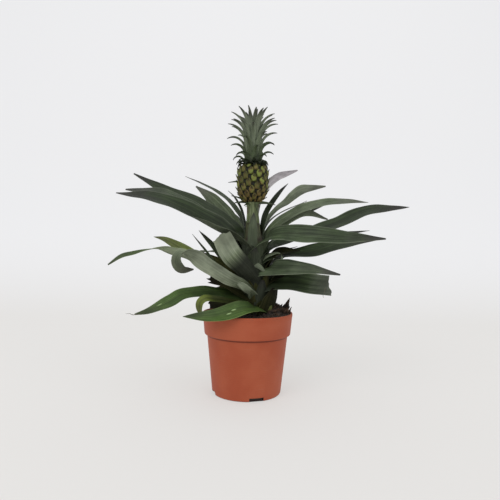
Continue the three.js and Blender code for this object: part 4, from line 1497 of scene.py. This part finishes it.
@dataclass
class Fruit:
    """The fruit: a barrel under a spiral lattice of domed eyes, each with a pointed bract.

    The neighbours of an eye are near and far steps along the spiral, which are near_turns and
    far_turns round it, so two whole numbers name an eye.
    """

    bottom_z: float = 254.3
    height: float = 48.6
    radius: float = 18.4
    squareness: float = 4.4
    low_squareness: float = 2.3
    eyes: int = 60
    near: int = 8
    near_turns: int = 3
    far: int = 13
    far_turns: int = 5
    trim: float = 0.1
    dome: float = 3.4
    crowding: float = 0.35
    corner_power: float = 3.2
    spread: float = 0.35
    bract_length: float = 9.0
    bract_width: float = 7.0
    bract_lift: float = 3.6
    bract_root: float = 0.6
    bract_height: float = 1.2
    bract_cup: float = 0.6
    bract_rise: float = 0.8
    bract_tip: float = 0.15
    bract_wall: float = 0.5
    bract_turn: float = 3.834
    outline_length: float = 78.0
    steps: int = 33

    def profile(self) -> tuple[np.ndarray, np.ndarray]:
        """Draw the barrel's outline.

        Returns:
            Radii and heights over its middle at even steps, in millimetres.
        """
        angle = np.linspace(-math.pi / 2, math.pi / 2, 901)
        power = 2 / np.where(angle < 0, self.low_squareness, self.squareness)
        radius = self.radius * np.abs(np.cos(angle)) ** power
        rise = self.height / 2 * np.sign(angle) * np.abs(np.sin(angle)) ** power
        walked = np.concatenate(([0], np.cumsum(np.hypot(np.diff(radius), np.diff(rise)))))
        even = np.linspace(0, walked[-1], self.steps)
        return np.interp(even, walked, radius), np.interp(even, walked, rise)

    def outline(self, recipe: Recipe, share: Socket) -> tuple[Socket, Socket]:
        """Give the barrel's radius and height over its middle.

        Args:
            recipe: The tree to add nodes to.
            share: Place along the outline from the lower end (0) to the upper end (1).

        Returns:
            Radius and height in millimetres.
        """
        radii, heights = self.profile()
        return recipe.ramp(share, radii), recipe.ramp(share, heights)

    def build(self) -> None:
        """Grow the skin and the bracts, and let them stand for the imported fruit."""
        recipe = Recipe("fruit")
        both = recipe.join(self.skin(recipe), self.bracts(recipe))
        dress(recipe.build(both, FruitFinish().material()), "fruit", "fruit")

    def middle(self) -> tuple[float, float]:
        """Return the x and the height of the fruit's middle in millimetres."""
        z = self.bottom_z + self.height / 2
        return float(AXIS.x(z)), z

    def skin(self, recipe: Recipe) -> Socket:
        """Shape a fine ball into the barrel and raise its eyes.

        Args:
            recipe: The tree to add nodes to.

        Returns:
            The skin's geometry.
        """
        dome = recipe.size("Dome height", self.dome)
        sizes = {"Segments": 216, "Rings": 150, "Radius": 1.0}
        ball = recipe.node("GeometryNodeMeshUVSphere", sizes)
        point = recipe.node("GeometryNodeInputPosition")
        x, y, z = point.split()
        share = 0.5 + recipe.math("ARCSINE", z) / math.pi
        turn = recipe.math("ARCTAN2", y, x) * (180 / math.pi)
        wobble = (recipe.noise(point, 3.2) - 0.5) * self.crowding
        step = (share - self.trim) / (1 - 2 * self.trim) * (self.eyes + self.near + self.far)
        near_turn = self.near * GOLDEN_ANGLE - 360 * self.near_turns
        far_turn = 360 * self.far_turns - self.far * GOLDEN_ANGLE
        u = (turn * self.far + step * far_turn) / 360 + wobble
        v = (step * near_turn - turn * self.near) / 360 - wobble
        cell_u, cell_v = recipe.math("FLOOR", u), recipe.math("FLOOR", v)
        from_u, from_v = abs(u - cell_u - 0.5) * 2, abs(v - cell_v - 0.5) * 2
        power = self.corner_power
        eye = (1 - (from_u**power + from_v**power) ** (1 / power)).at_least(0)
        tone = recipe.random(0.0, 1.0, cell_u * self.near + cell_v * self.far, 5)
        radius, height = self.outline(recipe, share)
        flat = recipe.math("SQRT", x * x + y * y).at_least(0.0001)
        lift = (eye.step(-0.1, 0.3) * 0.7 + eye.step(0.1, 1.0) * 0.3) * dome * (0.75 + tone * 0.5)
        lift = lift * flat.step(0.05, 0.35)
        out_x, out_y, out_z = x / flat, y / flat, height * (self.spread / self.radius)
        rise = lift / recipe.math("SQRT", 1 + out_z * out_z)
        wide = radius + rise
        centre_x, middle_z = self.middle()
        top = height + out_z * rise + middle_z
        shaped = recipe.store(recipe.store(ball, "eye", eye), "tone", tone)
        return recipe.move(shaped, recipe.combine(out_x * wide + centre_x, out_y * wide, top))

    def bracts(self, recipe: Recipe) -> Socket:
        """Lay a pointed scale over each eye.

        Args:
            recipe: The tree to add nodes to.

        Returns:
            The scales' geometry.
        """
        blades = recipe.blades(recipe.size("Eyes", self.eyes), 5, 7)
        order, across, share = (recipe.stored(name) for name in ("order", "across", "share"))
        rows = self.near + self.far
        centre = (order + rows / 2) / (self.eyes + rows) * (1 - 2 * self.trim) + self.trim
        past = share * self.bract_length - self.bract_length * self.bract_root
        place = centre + past / self.outline_length
        radius, height = self.outline(recipe, place)
        lift = self.bract_height + share**1.2 * self.bract_lift - across * across * self.bract_cup
        wide = self.bract_width / 2 * (1 - share**1.7) + self.bract_tip
        radius = radius + lift
        turn = (order * GOLDEN_ANGLE + self.bract_turn) * (math.pi / 180) + across * wide / radius
        centre_x, middle_z = self.middle()
        height = height * (1 + lift * (self.spread / self.radius)) + middle_z
        height = height + share * self.bract_rise
        at = recipe.combine(turn.cos() * radius + centre_x, turn.sin() * radius, height)
        shaped = recipe.move(blades, at)
        sockets = {"Mesh": shaped, "Offset Scale": self.bract_wall * MM, "Individual": False}
        thick = recipe.node("GeometryNodeExtrudeMesh", sockets, "Mesh")
        both = recipe.join(thick, recipe.node("GeometryNodeFlipFaces", {"Mesh": shaped}))
        sockets = {"Geometry": both, "Distance": WELD}
        closed = recipe.node("GeometryNodeMergeByDistance", sockets)
        marked = recipe.store(recipe.store(closed, "bract", 1.0), "eye", 1.0)
        return recipe.store(marked, "tone", recipe.random(0.0, 1.0, order, 8))


# ---- Crown --------------------------------------------------------------------------------------


@dataclass
class Crown:
    """The crown: blades on a spiral round a core, tight below and bent out at their tips.

    The lists run from the lowest blade to the highest: lengths, slopes at root and tip, widths,
    and pale values, which are painted shade below 0 on the lower blades and grey bloom above 0.
    """

    bottom_z: float = 303.2
    height: float = 50.0
    radius: float = 12.5
    tip_radius: float = 6.0
    name: str = "crown"
    core: bool = True
    blades: int = 52
    first_turn: float = 40.0
    width: float = 12.0
    wall: float = 0.6
    sunk: float = 2.2
    root_drop: float = 0.5
    bare_top: float = 8.0
    least_reach: float = 5.5
    hug: float = 0.32
    fold: float = 1.1
    unevenness: float = 0.15
    sway: float = 12.0
    seed: int = 23
    lengths: tuple[float, ...] = (20, 34, 48, 50, 43, 28)
    rises: tuple[float, ...] = (62, 76, 81, 82, 83, 84)
    curls: tuple[float, ...] = (-75, -30, 0, 16, 36, 62)
    widths: tuple[float, ...] = (0.6, 0.85, 1, 1, 0.95, 0.8)
    pales: tuple[float, ...] = (-0.32, 0.0, 0.36, 0.45, 0.55, 0.65)

    def build(self) -> None:
        """Grow the blades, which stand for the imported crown, and the core they hide."""
        recipe = Recipe(self.name)
        blades = recipe.blades(recipe.size("Blades", self.blades), 7, 16)
        order, across, share = (recipe.stored(name) for name in ("order", "across", "share"))
        place = (order + 0.5) / self.blades
        spread = recipe.random(-self.unevenness, self.unevenness, order, self.seed)
        sway = recipe.random(-self.sway, self.sway, order, self.seed + 1)
        length = recipe.ramp(place, self.lengths) * (spread + 1)
        rise = recipe.ramp(place, self.rises) * (math.pi / 180)
        curl = (recipe.ramp(place, self.curls) + sway) * (math.pi / 180)
        hug = share.at_most(self.hug)
        turning = (curl - rise) / (1 - self.hug)
        slope = rise + turning * (share - hug)
        outward = hug * rise.cos() + (slope.sin() - rise.sin()) / turning
        upward = hug * rise.sin() - (slope.cos() - rise.cos()) / turning
        core = self.radius + (self.tip_radius - self.radius) * place**3
        reach = core - self.sunk + length * outward
        root_z = self.bottom_z - self.root_drop + (self.height - self.bare_top) * place
        z = root_z + length * upward
        half = recipe.ramp(place, self.widths) * (self.width / 2) * (1 - share**1.7 * 0.95)
        turn = (order * GOLDEN_ANGLE + self.first_turn) * (math.pi / 180)
        turn = turn + across * half / reach.at_least(self.least_reach)
        fold = across * across * half * share * self.fold
        reach = reach - slope.sin() * fold
        z = z + slope.cos() * fold
        at = recipe.combine(AXIS.x_in(recipe, z) + reach * turn.cos(), reach * turn.sin(), z)
        shaped = recipe.store(recipe.move(blades, at), "length", share * 0.03)
        shaped = recipe.store(shaped, "tone", recipe.random(0.0, 1.0, order, self.seed + 2))
        # Painted shade on the lower blades and grey bloom on the higher ones, stored as pale.
        shaped = recipe.store(shaped, "pale", recipe.ramp(place, self.pales))
        skin = LeafFinish(
            "crown_leaf", upper=(60, 72, 46), vein=(86, 98, 70), under=(82, 96, 68),
            streak=(100, 112, 86), root=(60, 72, 42), tip=(34, 34, 26), margin=(92, 104, 78),
            bloom=0.4, gloss=0.6,
        )
        piece = recipe.build(shaped, skin.material(), self.wall * MM)
        dress(piece, "crown", *(["crown"] if self.core else []))
        if self.core:
            self.heart()

    def heart(self) -> None:
        """Make the core that the blades hide."""
        share = np.linspace(0, 1, 24)[:, None]
        radius = self.radius + (self.tip_radius - self.radius) * share * share
        radius = radius * (0.75 + 0.25 * smooth(share * 8)) - 1.2
        radius = radius * np.sqrt(np.clip((1 - share) * 12, 0.02, 1))
        mesh = Mesh()
        mesh.tube(AXIS.rings(radius, circle(32), self.bottom_z + self.height * share))
        bark = BarkFinish("crown_core", (48, 56, 34), (74, 84, 54), (60, 52, 36), dryness=0.2)
        dress(mesh.piece("crown_core", bark.material()), "crown")


# The ring of short blades bent down round the crown's foot is painted dark as shade.
CROWN_RING = Crown(
    name="crown_ring", core=False, height=11.0, radius=10.5, tip_radius=11.0, blades=26,
    width=7.5, first_turn=0.0, lengths=(15, 16, 17), rises=(12, 30, 52), curls=(-70, -78, -80),
    widths=(1, 0.9), pales=(-0.75, -0.6, -0.5),
)


# ---- Pot and soil -------------------------------------------------------------------------------


@dataclass(frozen=True)
class PlasticFinish:
    """Moulded terracotta-coloured plastic with dust, faint scuffs and lime along the rim, with a
    painted shadow under the collar and painted shade inside the notches.
    """

    name: str = "terracotta_plastic"
    body: Rgb = (161, 75, 47)
    light: Rgb = (170, 86, 57)
    dust: Rgb = (176, 148, 128)
    dirt: Rgb = (84, 58, 44)
    groove: Rgb = (92, 36, 24)
    hollow: Rgb = (36, 16, 12)

    def material(self) -> bpy.types.Material:
        """Build the material in the object's own space.

        Returns:
            The material.
        """
        paint = Paint(self.name)
        place = paint.place()
        x, y, z = place.split()
        cloud = paint.noise(place, 22.0, 3.0)
        grain = paint.noise(place, 1500.0)
        scuff = paint.noise(paint.combine(x * 60, y * 60, z * 700), 1.0, 3.0)
        drip = paint.noise(paint.combine(x * 300, y * 300, z * 18), 1.0, 3.0)
        low, high = z.step(0.02, 0.0), z.step(0.098, 0.107)
        colour = paint.mix(cloud.step(0.35, 0.7), self.body, self.light)
        colour = paint.mix((scuff + cloud * 0.3).step(0.76, 0.95) * 0.08, colour, self.dust)
        lime = (drip + high * 0.2 + low * 0.1).step(0.7, 0.95)
        colour = paint.mix(lime * 0.15, colour, self.dust)
        dirt = (grain * 0.5 + cloud * 0.5 + high * 0.16 + low * 0.08).step(0.66, 0.74)
        colour = paint.mix(dirt * 0.5, colour, self.dirt)
        radius = paint.length(paint.combine(x, y, 0.0))
        # Painted shadow: a dark line under the collar's lower edge, where it overhangs the body.
        collar = radius.step(0.0572, 0.0562) * z.step(0.0752, 0.0768) * z.step(0.0804, 0.0794)
        colour = paint.mix(collar * 0.8, colour, self.groove)
        # Painted shade on the pot's inner underside, where it shows through the notches.
        underside_shade_mask = radius.step(0.0453, 0.0445) * z.step(0.0066, 0.0056)
        colour = paint.mix(underside_shade_mask, colour, self.hollow)
        mould = (z * 2600.0).sin() * 0.15
        bump = paint.bump(grain * 0.35 + scuff * 0.2 + mould, 0.0003, 0.35)
        roughness = 0.5 + cloud * 0.14 + high * 0.12
        return paint.finish(colour, roughness, bump, Specular_IOR_Level=0.25)


@dataclass
class Pot:
    """The thin round nursery pot: tapered body, deep collar, four notches in its foot."""

    rim_r: float = 60.0
    height: float = 107.0
    rim_wall: float = 2.2
    collar_r: float = 57.5
    collar_z: float = 79.0
    body_top_r: float = 53.8
    body_top_z: float = 77.0
    base_r: float = 45.6
    corner: float = 3.0
    wall: float = 1.8
    floor: float = 2.4
    notch_width: float = 19.0
    notch_height: float = 5.2
    notch_depth: float = 7.0
    notch_turn: float = 17.0
    notches: int = 4
    sides: int = 160

    def inside(self, z: float) -> float:
        """Measure the pot inside.

        Args:
            z: A height above the pot's floor in millimetres.

        Returns:
            The inner radius there in millimetres.
        """
        if z > self.body_top_z:
            low, high, slope = self.collar_z, self.height, self.rim_r - self.collar_r
            return self.collar_r - self.rim_wall + slope * (z - low) / (high - low)
        low, high, slope = self.corner, self.body_top_z, self.body_top_r - self.base_r
        return self.base_r - self.wall + slope * (z - low) / (high - low)

    def profile(self) -> list[tuple[float, float]]:
        """Draw the wall's outline.

        Returns:
            Radius and height from the underside's middle round the rim to the floor's middle.
        """
        shoulder = self.body_top_r - self.wall
        collar = self.collar_r - self.rim_wall
        underside = (
            (1.0, 0.0, 0.0), (20.0, 0.6, 0.5), (self.base_r - 6, 0.0, 1.0),
            (self.base_r, 0.0, self.corner),
        )
        outside = (
            (self.body_top_r, self.body_top_z, 0.6),
            (self.collar_r - 0.5, self.collar_z - 0.6, 0.5),
            (self.collar_r + 0.1, self.collar_z + 1.4, 0.8),
            (self.rim_r - 0.35, self.height - 5.0, 0.6), (self.rim_r, self.height - 3.8, 0.6),
            (self.rim_r, self.height, 1.2),
        )
        inside = (
            (self.rim_r - self.rim_wall, self.height, 0.8), (collar, self.collar_z, 1.5),
            (shoulder, self.body_top_z, 1.5), (self.base_r - self.wall, self.floor, 2.0),
            (1.0, self.floor, 0.0),
        )
        return rounded(underside + outside + inside)

    def build(self) -> None:
        """Turn the pot and cut its notches."""
        material = PlasticFinish().material()
        turn = circle(self.sides)
        radius, z = np.array(self.profile()).T[:, :, None]
        parts = (radius * np.cos(turn), radius * np.sin(turn), z)
        mesh = Mesh()
        mesh.tube(np.stack(np.broadcast_arrays(*parts), axis=-1))
        piece = mesh.piece("pot", material)
        cutter = self.cutters().piece("notches", material)
        cut = piece.modifiers.new("notches", "BOOLEAN")
        cut.operation = "DIFFERENCE"
        cut.object = cutter
        bake_modifiers(piece)
        bpy.data.objects.remove(cutter)
        piece.data.set_sharp_from_angle(angle=math.radians(SHARP))
        dress(piece, "pot", "pot")

    def cutters(self) -> Mesh:
        """Place a box at each notch.

        Returns:
            The boxes, to be cut from the pot.
        """
        ends = (-0.5, 0.5)
        box = np.array([(x, y, z) for x in ends for y in ends for z in ends])
        box = box * (self.notch_depth, self.notch_width, 2 * self.notch_height)
        sides = ((0, 1, 3, 2), (4, 6, 7, 5), (0, 4, 5, 1), (2, 3, 7, 6), (0, 2, 6, 4), (1, 5, 7, 3))
        mesh = Mesh()
        for number in range(self.notches):
            angle = math.radians(-90 + self.notch_turn + number * 360 / self.notches)
            turned = (box + (self.base_r, 0, 0)) @ np.array(Matrix.Rotation(angle, 3, "Z")).T
            mesh.add(turned, sides)
        return mesh


@dataclass(frozen=True)
class SoilFinish:
    """Dark damp peat and bark."""

    name: str
    dark: Rgb
    brown: Rgb
    fleck: Rgb
    share: float

    def material(self) -> bpy.types.Material:
        """Build the material in the object's own space.

        Returns:
            The material.
        """
        paint = Paint(self.name)
        place = paint.place()
        clump = paint.noise(place, 120.0, 4.0)
        grain = paint.noise(place, 1100.0, 3.0)
        colour = paint.mix(clump.step(0.35, 0.7), self.dark, self.brown)
        colour = paint.mix((grain + clump * 0.2).step(0.8 - self.share, 0.84), colour, self.fleck)
        return paint.finish(colour, 0.85, paint.bump(grain * 0.5 + clump * 0.5, 0.0012, 0.9))


@dataclass(frozen=True)
class Litter:
    """One kind of loose piece on the soil: how many, how big, how stretched, and where."""

    name: str
    count: int
    sizes: tuple[float, float]
    stretch: Triple
    seed: int
    tilt: float = 0.5
    place: tuple[float, float] = (0.0, 0.0)
    reach: float = 52.0
    fineness: int = 1
    peat: bool = False

    def centre(self) -> Triple:
        """Return the middle of the scatter in metres."""
        return (self.place[0] * MM, self.place[1] * MM, 0.0)


@dataclass
class Soil:
    """Soil up to the pot's wall, mounded right of the stem, under crumbs, chips and fibres.

    Each shard has a foot, a width, a height, a lean and a turn.
    """

    pot: Pot
    top_z: float = 103.0
    mound: float = 11.5
    mound_x: float = 30.0
    mound_y: float = 8.0
    spread: float = 23.0
    dip: float = 3.5
    floor_gap: float = 0.3
    floor_corner: float = 2.0
    gap: float = 0.4
    wave: float = 0.7
    rough: float = 0.55
    sharp: float = 80.0
    wall_z: tuple[float, ...] = (20.0, 40.0, 60.0, 76.4, 79.4, 90.0)
    edge_z: float = 100.0
    sides: int = 150
    rings: int = 64
    clear: float = 6.0
    litters: tuple[Litter, ...] = (
        Litter("soil_crumbs", 1500, (0.7, 2.4), (1.0, 0.9, 0.8), 1, peat=True),
        Litter("bark_chips", 130, (1.6, 3.6), (1.6, 0.8, 0.35), 2, fineness=2),
        Litter("fibres", 110, (2.0, 4.5), (1.6, 0.09, 0.09), 3),
        Litter(
            "bark_heap", 90, (3.0, 6.2), (1.5, 0.7, 0.3), 4, tilt=1.0, place=(38.0, 6.0),
            reach=20.0, fineness=2,
        ),
    )
    shards: tuple[tuple[Triple, float, float, float, float], ...] = (
        ((48.0, 12.0, 107.0), 12.0, 21.0, 24.0, -6.0),
        ((53.0, -6.0, 106.0), 5.0, 11.5, 26.0, 20.0),
    )
    shard_sunk: float = 2.5
    shard_wall: float = 1.6

    def height(self, x: np.ndarray, y: np.ndarray) -> np.ndarray:
        """Shape the surface.

        Args:
            x: Places to the right in millimetres.
            y: Places to the back in millimetres.

        Returns:
            Heights in millimetres.
        """
        away = (x - self.mound_x) ** 2 + (y - self.mound_y) ** 2
        mound = self.mound * np.exp(-away / self.spread**2)
        dip = np.where(x < 0, self.dip * (x / 60) ** 2, 0)
        waves = np.sin(0.31 * x + 1.1) * np.cos(0.27 * y) + 0.6 * np.sin(0.55 * x - 0.48 * y)
        crumbs = np.sin(1.7 * x + 2.1 * np.sin(0.9 * y)) * np.sin(1.9 * y + 1.7 * np.sin(1.1 * x))
        return self.top_z + mound - dip + self.wave * waves + self.rough * crumbs

    def build(self) -> None:
        """Make the ground, then scatter what lies on it."""
        low = self.pot.floor + self.floor_gap
        floor_r = self.pot.inside(low) - self.floor_corner
        rows = [(floor_r * share, low) for share in (0.05, 0.5, 1)]
        rows += [(self.pot.inside(z) - self.gap, z) for z in (low, *self.wall_z)]
        turn = circle(self.sides)
        edge = self.pot.inside(self.edge_z) - self.gap
        for share in np.linspace(1, 0.01, self.rings):
            radius = edge * share
            rows.append((radius, self.height(radius * np.cos(turn), radius * np.sin(turn))))
        rings = [np.broadcast_arrays(r * np.cos(turn), r * np.sin(turn), z) for r, z in rows]
        mesh = Mesh()
        mesh.tube(np.array(rings).transpose(0, 2, 1))
        peat = SoilFinish("peat", (30, 25, 20), (58, 44, 33), (96, 74, 52), share=0.06).material()
        ground = mesh.piece("soil", peat, self.sharp)
        dress(ground, "soil", "soil")
        bark = SoilFinish("bark", (34, 26, 20), (78, 56, 38), (128, 98, 68), share=0.02).material()
        for litter in self.litters:
            self.scatter(litter, ground, peat if litter.peat else bark)
        self.stand_shards(bark)

    def scatter(
        self, litter: Litter, ground: bpy.types.Object, material: bpy.types.Material
    ) -> None:
        """Scatter one kind of loose piece over the ground.

        Args:
            litter: What it is and where it lies.
            ground: The soil.
            material: Its finish.
        """
        recipe = Recipe(litter.name)
        soil = recipe.size("Ground", ground)
        area = math.pi * (litter.reach * MM) ** 2
        density = recipe.size("Pieces for each square metre", litter.count / area)
        reach = recipe.size("Reach", litter.reach * MM)
        kind = "GeometryNodeObjectInfo"
        surface = recipe.node(kind, {"Object": soil}, "Geometry", transform_space="ORIGINAL")
        at = recipe.node("GeometryNodeInputPosition")
        level = (1.0, 1.0, 0.0)
        away = recipe.vector("MULTIPLY", recipe.vector("SUBTRACT", at, litter.centre()), level)
        near = recipe.math("LESS_THAN", recipe.length(away), reach)
        out = recipe.length(recipe.vector("MULTIPLY", at, level))
        inside = recipe.math("LESS_THAN", out, (self.pot.rim_r - self.clear) * MM)
        chosen = near * inside * recipe.math("GREATER_THAN", at.split()[2], self.wall_z[-1] * MM)
        sockets = {"Mesh": surface, "Selection": chosen, "Density": density, "Seed": litter.seed}
        points = recipe.node("GeometryNodeDistributePointsOnFaces", sockets, "Points")
        sockets = {"Radius": MM, "Subdivisions": litter.fineness}
        lump = recipe.node("GeometryNodeMeshIcoSphere", sockets)
        pull = recipe.noise(at, 900.0, 1.0) + 0.5
        shaped = recipe.scale(recipe.vector("MULTIPLY", at, litter.stretch), pull)
        lump = recipe.node("GeometryNodeSetPosition", {"Geometry": lump, "Position": shaped})
        index = recipe.node("GeometryNodeInputIndex")
        tilts = (-litter.tilt, litter.tilt)
        limits = (tilts, tilts, (0.0, 6.28), litter.sizes)
        draws = [
            recipe.random(low, high, index, litter.seed + 10 * number)
            for number, (low, high) in enumerate(limits, 1)
        ]
        spin = recipe.node("FunctionNodeEulerToRotation", {0: recipe.combine(*draws[:3])})
        sockets = {"Points": points, "Instance": lump, "Rotation": spin, "Scale": draws[3]}
        placed = recipe.node("GeometryNodeInstanceOnPoints", sockets)
        dress(recipe.build(placed, material), "soil")

    def stand_shards(self, material: bpy.types.Material) -> None:
        """Stand the pointed bark shards in the mound.

        Args:
            material: Their finish.
        """
        share = np.linspace(0, 1, 9)[:, None]
        s = np.linspace(-1, 1, 7)
        mesh = Mesh()
        for foot, width, tall, lean, turn in self.shards:
            half = width / 2 * (1 - share**1.4) * (1 + 0.12 * np.sin(share * 17))
            x = half * s + math.tan(math.radians(lean)) * tall * share
            y = 0.5 * np.sin(3 * s + 6 * share)
            flat = np.stack(np.broadcast_arrays(x, y, tall * share - self.shard_sunk), axis=-1)
            turned = flat @ np.array(Matrix.Rotation(math.radians(turn), 3, "Z")).T + foot
            mesh.shell(turned, self.shard_wall * (1 - 0.6 * s**2) * (1 - 0.6 * share))
        dress(mesh.piece("bark_shards", material), "soil")


# ---- Studio -------------------------------------------------------------------------------------


@dataclass
class Studio:
    """A pale sweep, soft lamps and the camera, in metres and degrees.

    Each lamp has a name, a place, the length of its side and its power in watts.
    """

    half_width: float = 2.2
    near_y: float = -1.6
    bend_y: float = 0.5
    bend_radius: float = 0.6
    top_z: float = 2.4
    lens: float = 31.752
    eye: Triple = (0.0014, -0.594, 0.190)
    roll: float = 1.1
    aim: Triple = (0.0, 0.0, 0.17)
    lamps: tuple[tuple[str, Triple, float, float], ...] = (
        ("key", (-0.9, -1.2, 1.3), 1.1, 10.5),
        ("fill", (1.3, -0.9, 0.9), 1.2, 4.5),
        ("top", (0.1, 0.3, 1.7), 1.6, 2.5),
    )
    world: tuple[float, float, float, float] = (0.97, 0.98, 1.0, 1.0)
    world_strength: float = 0.64

    def build(self) -> None:
        """Set up floor, light and camera."""
        self.sweep()
        for lamp in self.lamps:
            self.lamp(*lamp)
        world = bpy.data.worlds.new("studio")
        world.use_nodes = True
        back = world.node_tree.nodes["Background"]
        back.inputs["Color"].default_value = self.world
        back.inputs["Strength"].default_value = self.world_strength
        bpy.context.scene.world = world
        bpy.context.scene.view_settings.view_transform = "Standard"
        self.camera()

    def sweep(self) -> bpy.types.Object:
        """Make the floor that curves up into the backdrop.

        Returns:
            The floor's object.
        """
        turn = np.linspace(0, math.pi / 2, 25)
        back_y = self.bend_y + self.bend_radius * np.sin(turn)
        curve = np.column_stack((back_y, self.bend_radius * (1 - np.cos(turn))))
        end = (self.bend_y + self.bend_radius, self.top_z)
        line = np.vstack(((self.near_y, 0), curve, end))
        x = np.linspace(-self.half_width, self.half_width, 3)
        grid = np.array([[(a, y, z) for a in x] for y, z in line])
        mesh = Mesh()
        mesh.add(grid.reshape(-1, 3) / MM, grid_faces(len(line), len(x)))
        paint = Paint("backdrop")
        share = paint.place().split()[1].step(0.5, 1.0)
        colour = paint.mix(share, (151, 149, 147), (155, 155, 156))
        glow = paint.mix(share, (195, 194, 192), (208, 208, 209))
        finish = paint.finish(colour, 0.9, Emission_Color=glow, Emission_Strength=0.87)
        return mesh.piece("floor", finish)

    def lamp(self, name: str, place: Triple, width: float, power: float) -> None:
        """Aim a soft square lamp at the plant's middle.

        Args:
            name: The lamp's name.
            place: Its position.
            width: Length of its side.
            power: Its power in watts.
        """
        light = bpy.data.lights.new(name, "AREA")
        light.energy = power
        light.size = width
        lamp = bpy.data.objects.new(name, light)
        back = unit(np.array(place) - np.array(self.aim))
        side = unit(np.cross(UP, back))
        axes = np.column_stack((side, np.cross(back, side), back))
        lamp.matrix_world = Matrix.Translation(place) @ Matrix(axes.tolist()).to_4x4()
        bpy.context.scene.collection.objects.link(lamp)

    def camera(self) -> None:
        """Look level along +Y, with a slight roll."""
        data = bpy.data.cameras.new("camera")
        data.lens = self.lens
        data.clip_start = 0.01
        camera = bpy.data.objects.new("camera", data)
        roll = Matrix.Rotation(math.radians(self.roll), 4, "Z")
        level = Matrix.Rotation(math.pi / 2, 4, "X")
        camera.matrix_world = Matrix.Translation(self.eye) @ level @ roll
        bpy.context.scene.collection.objects.link(camera)
        bpy.context.scene.camera = camera


def main() -> None:
    """Build every piece in order."""
    logging.basicConfig(level=logging.INFO, format="%(name)s: %(message)s")
    stem = Stem()
    pot = Pot()
    fruiting = (Peduncle(), Fruit(), Crown(), CROWN_RING)
    for assembly in (pot, Soil(pot), stem, *fruiting, Threads(), Studio()):
        assembly.build()
    Rosette().build(stem)


if __name__ == "__main__":
    main()
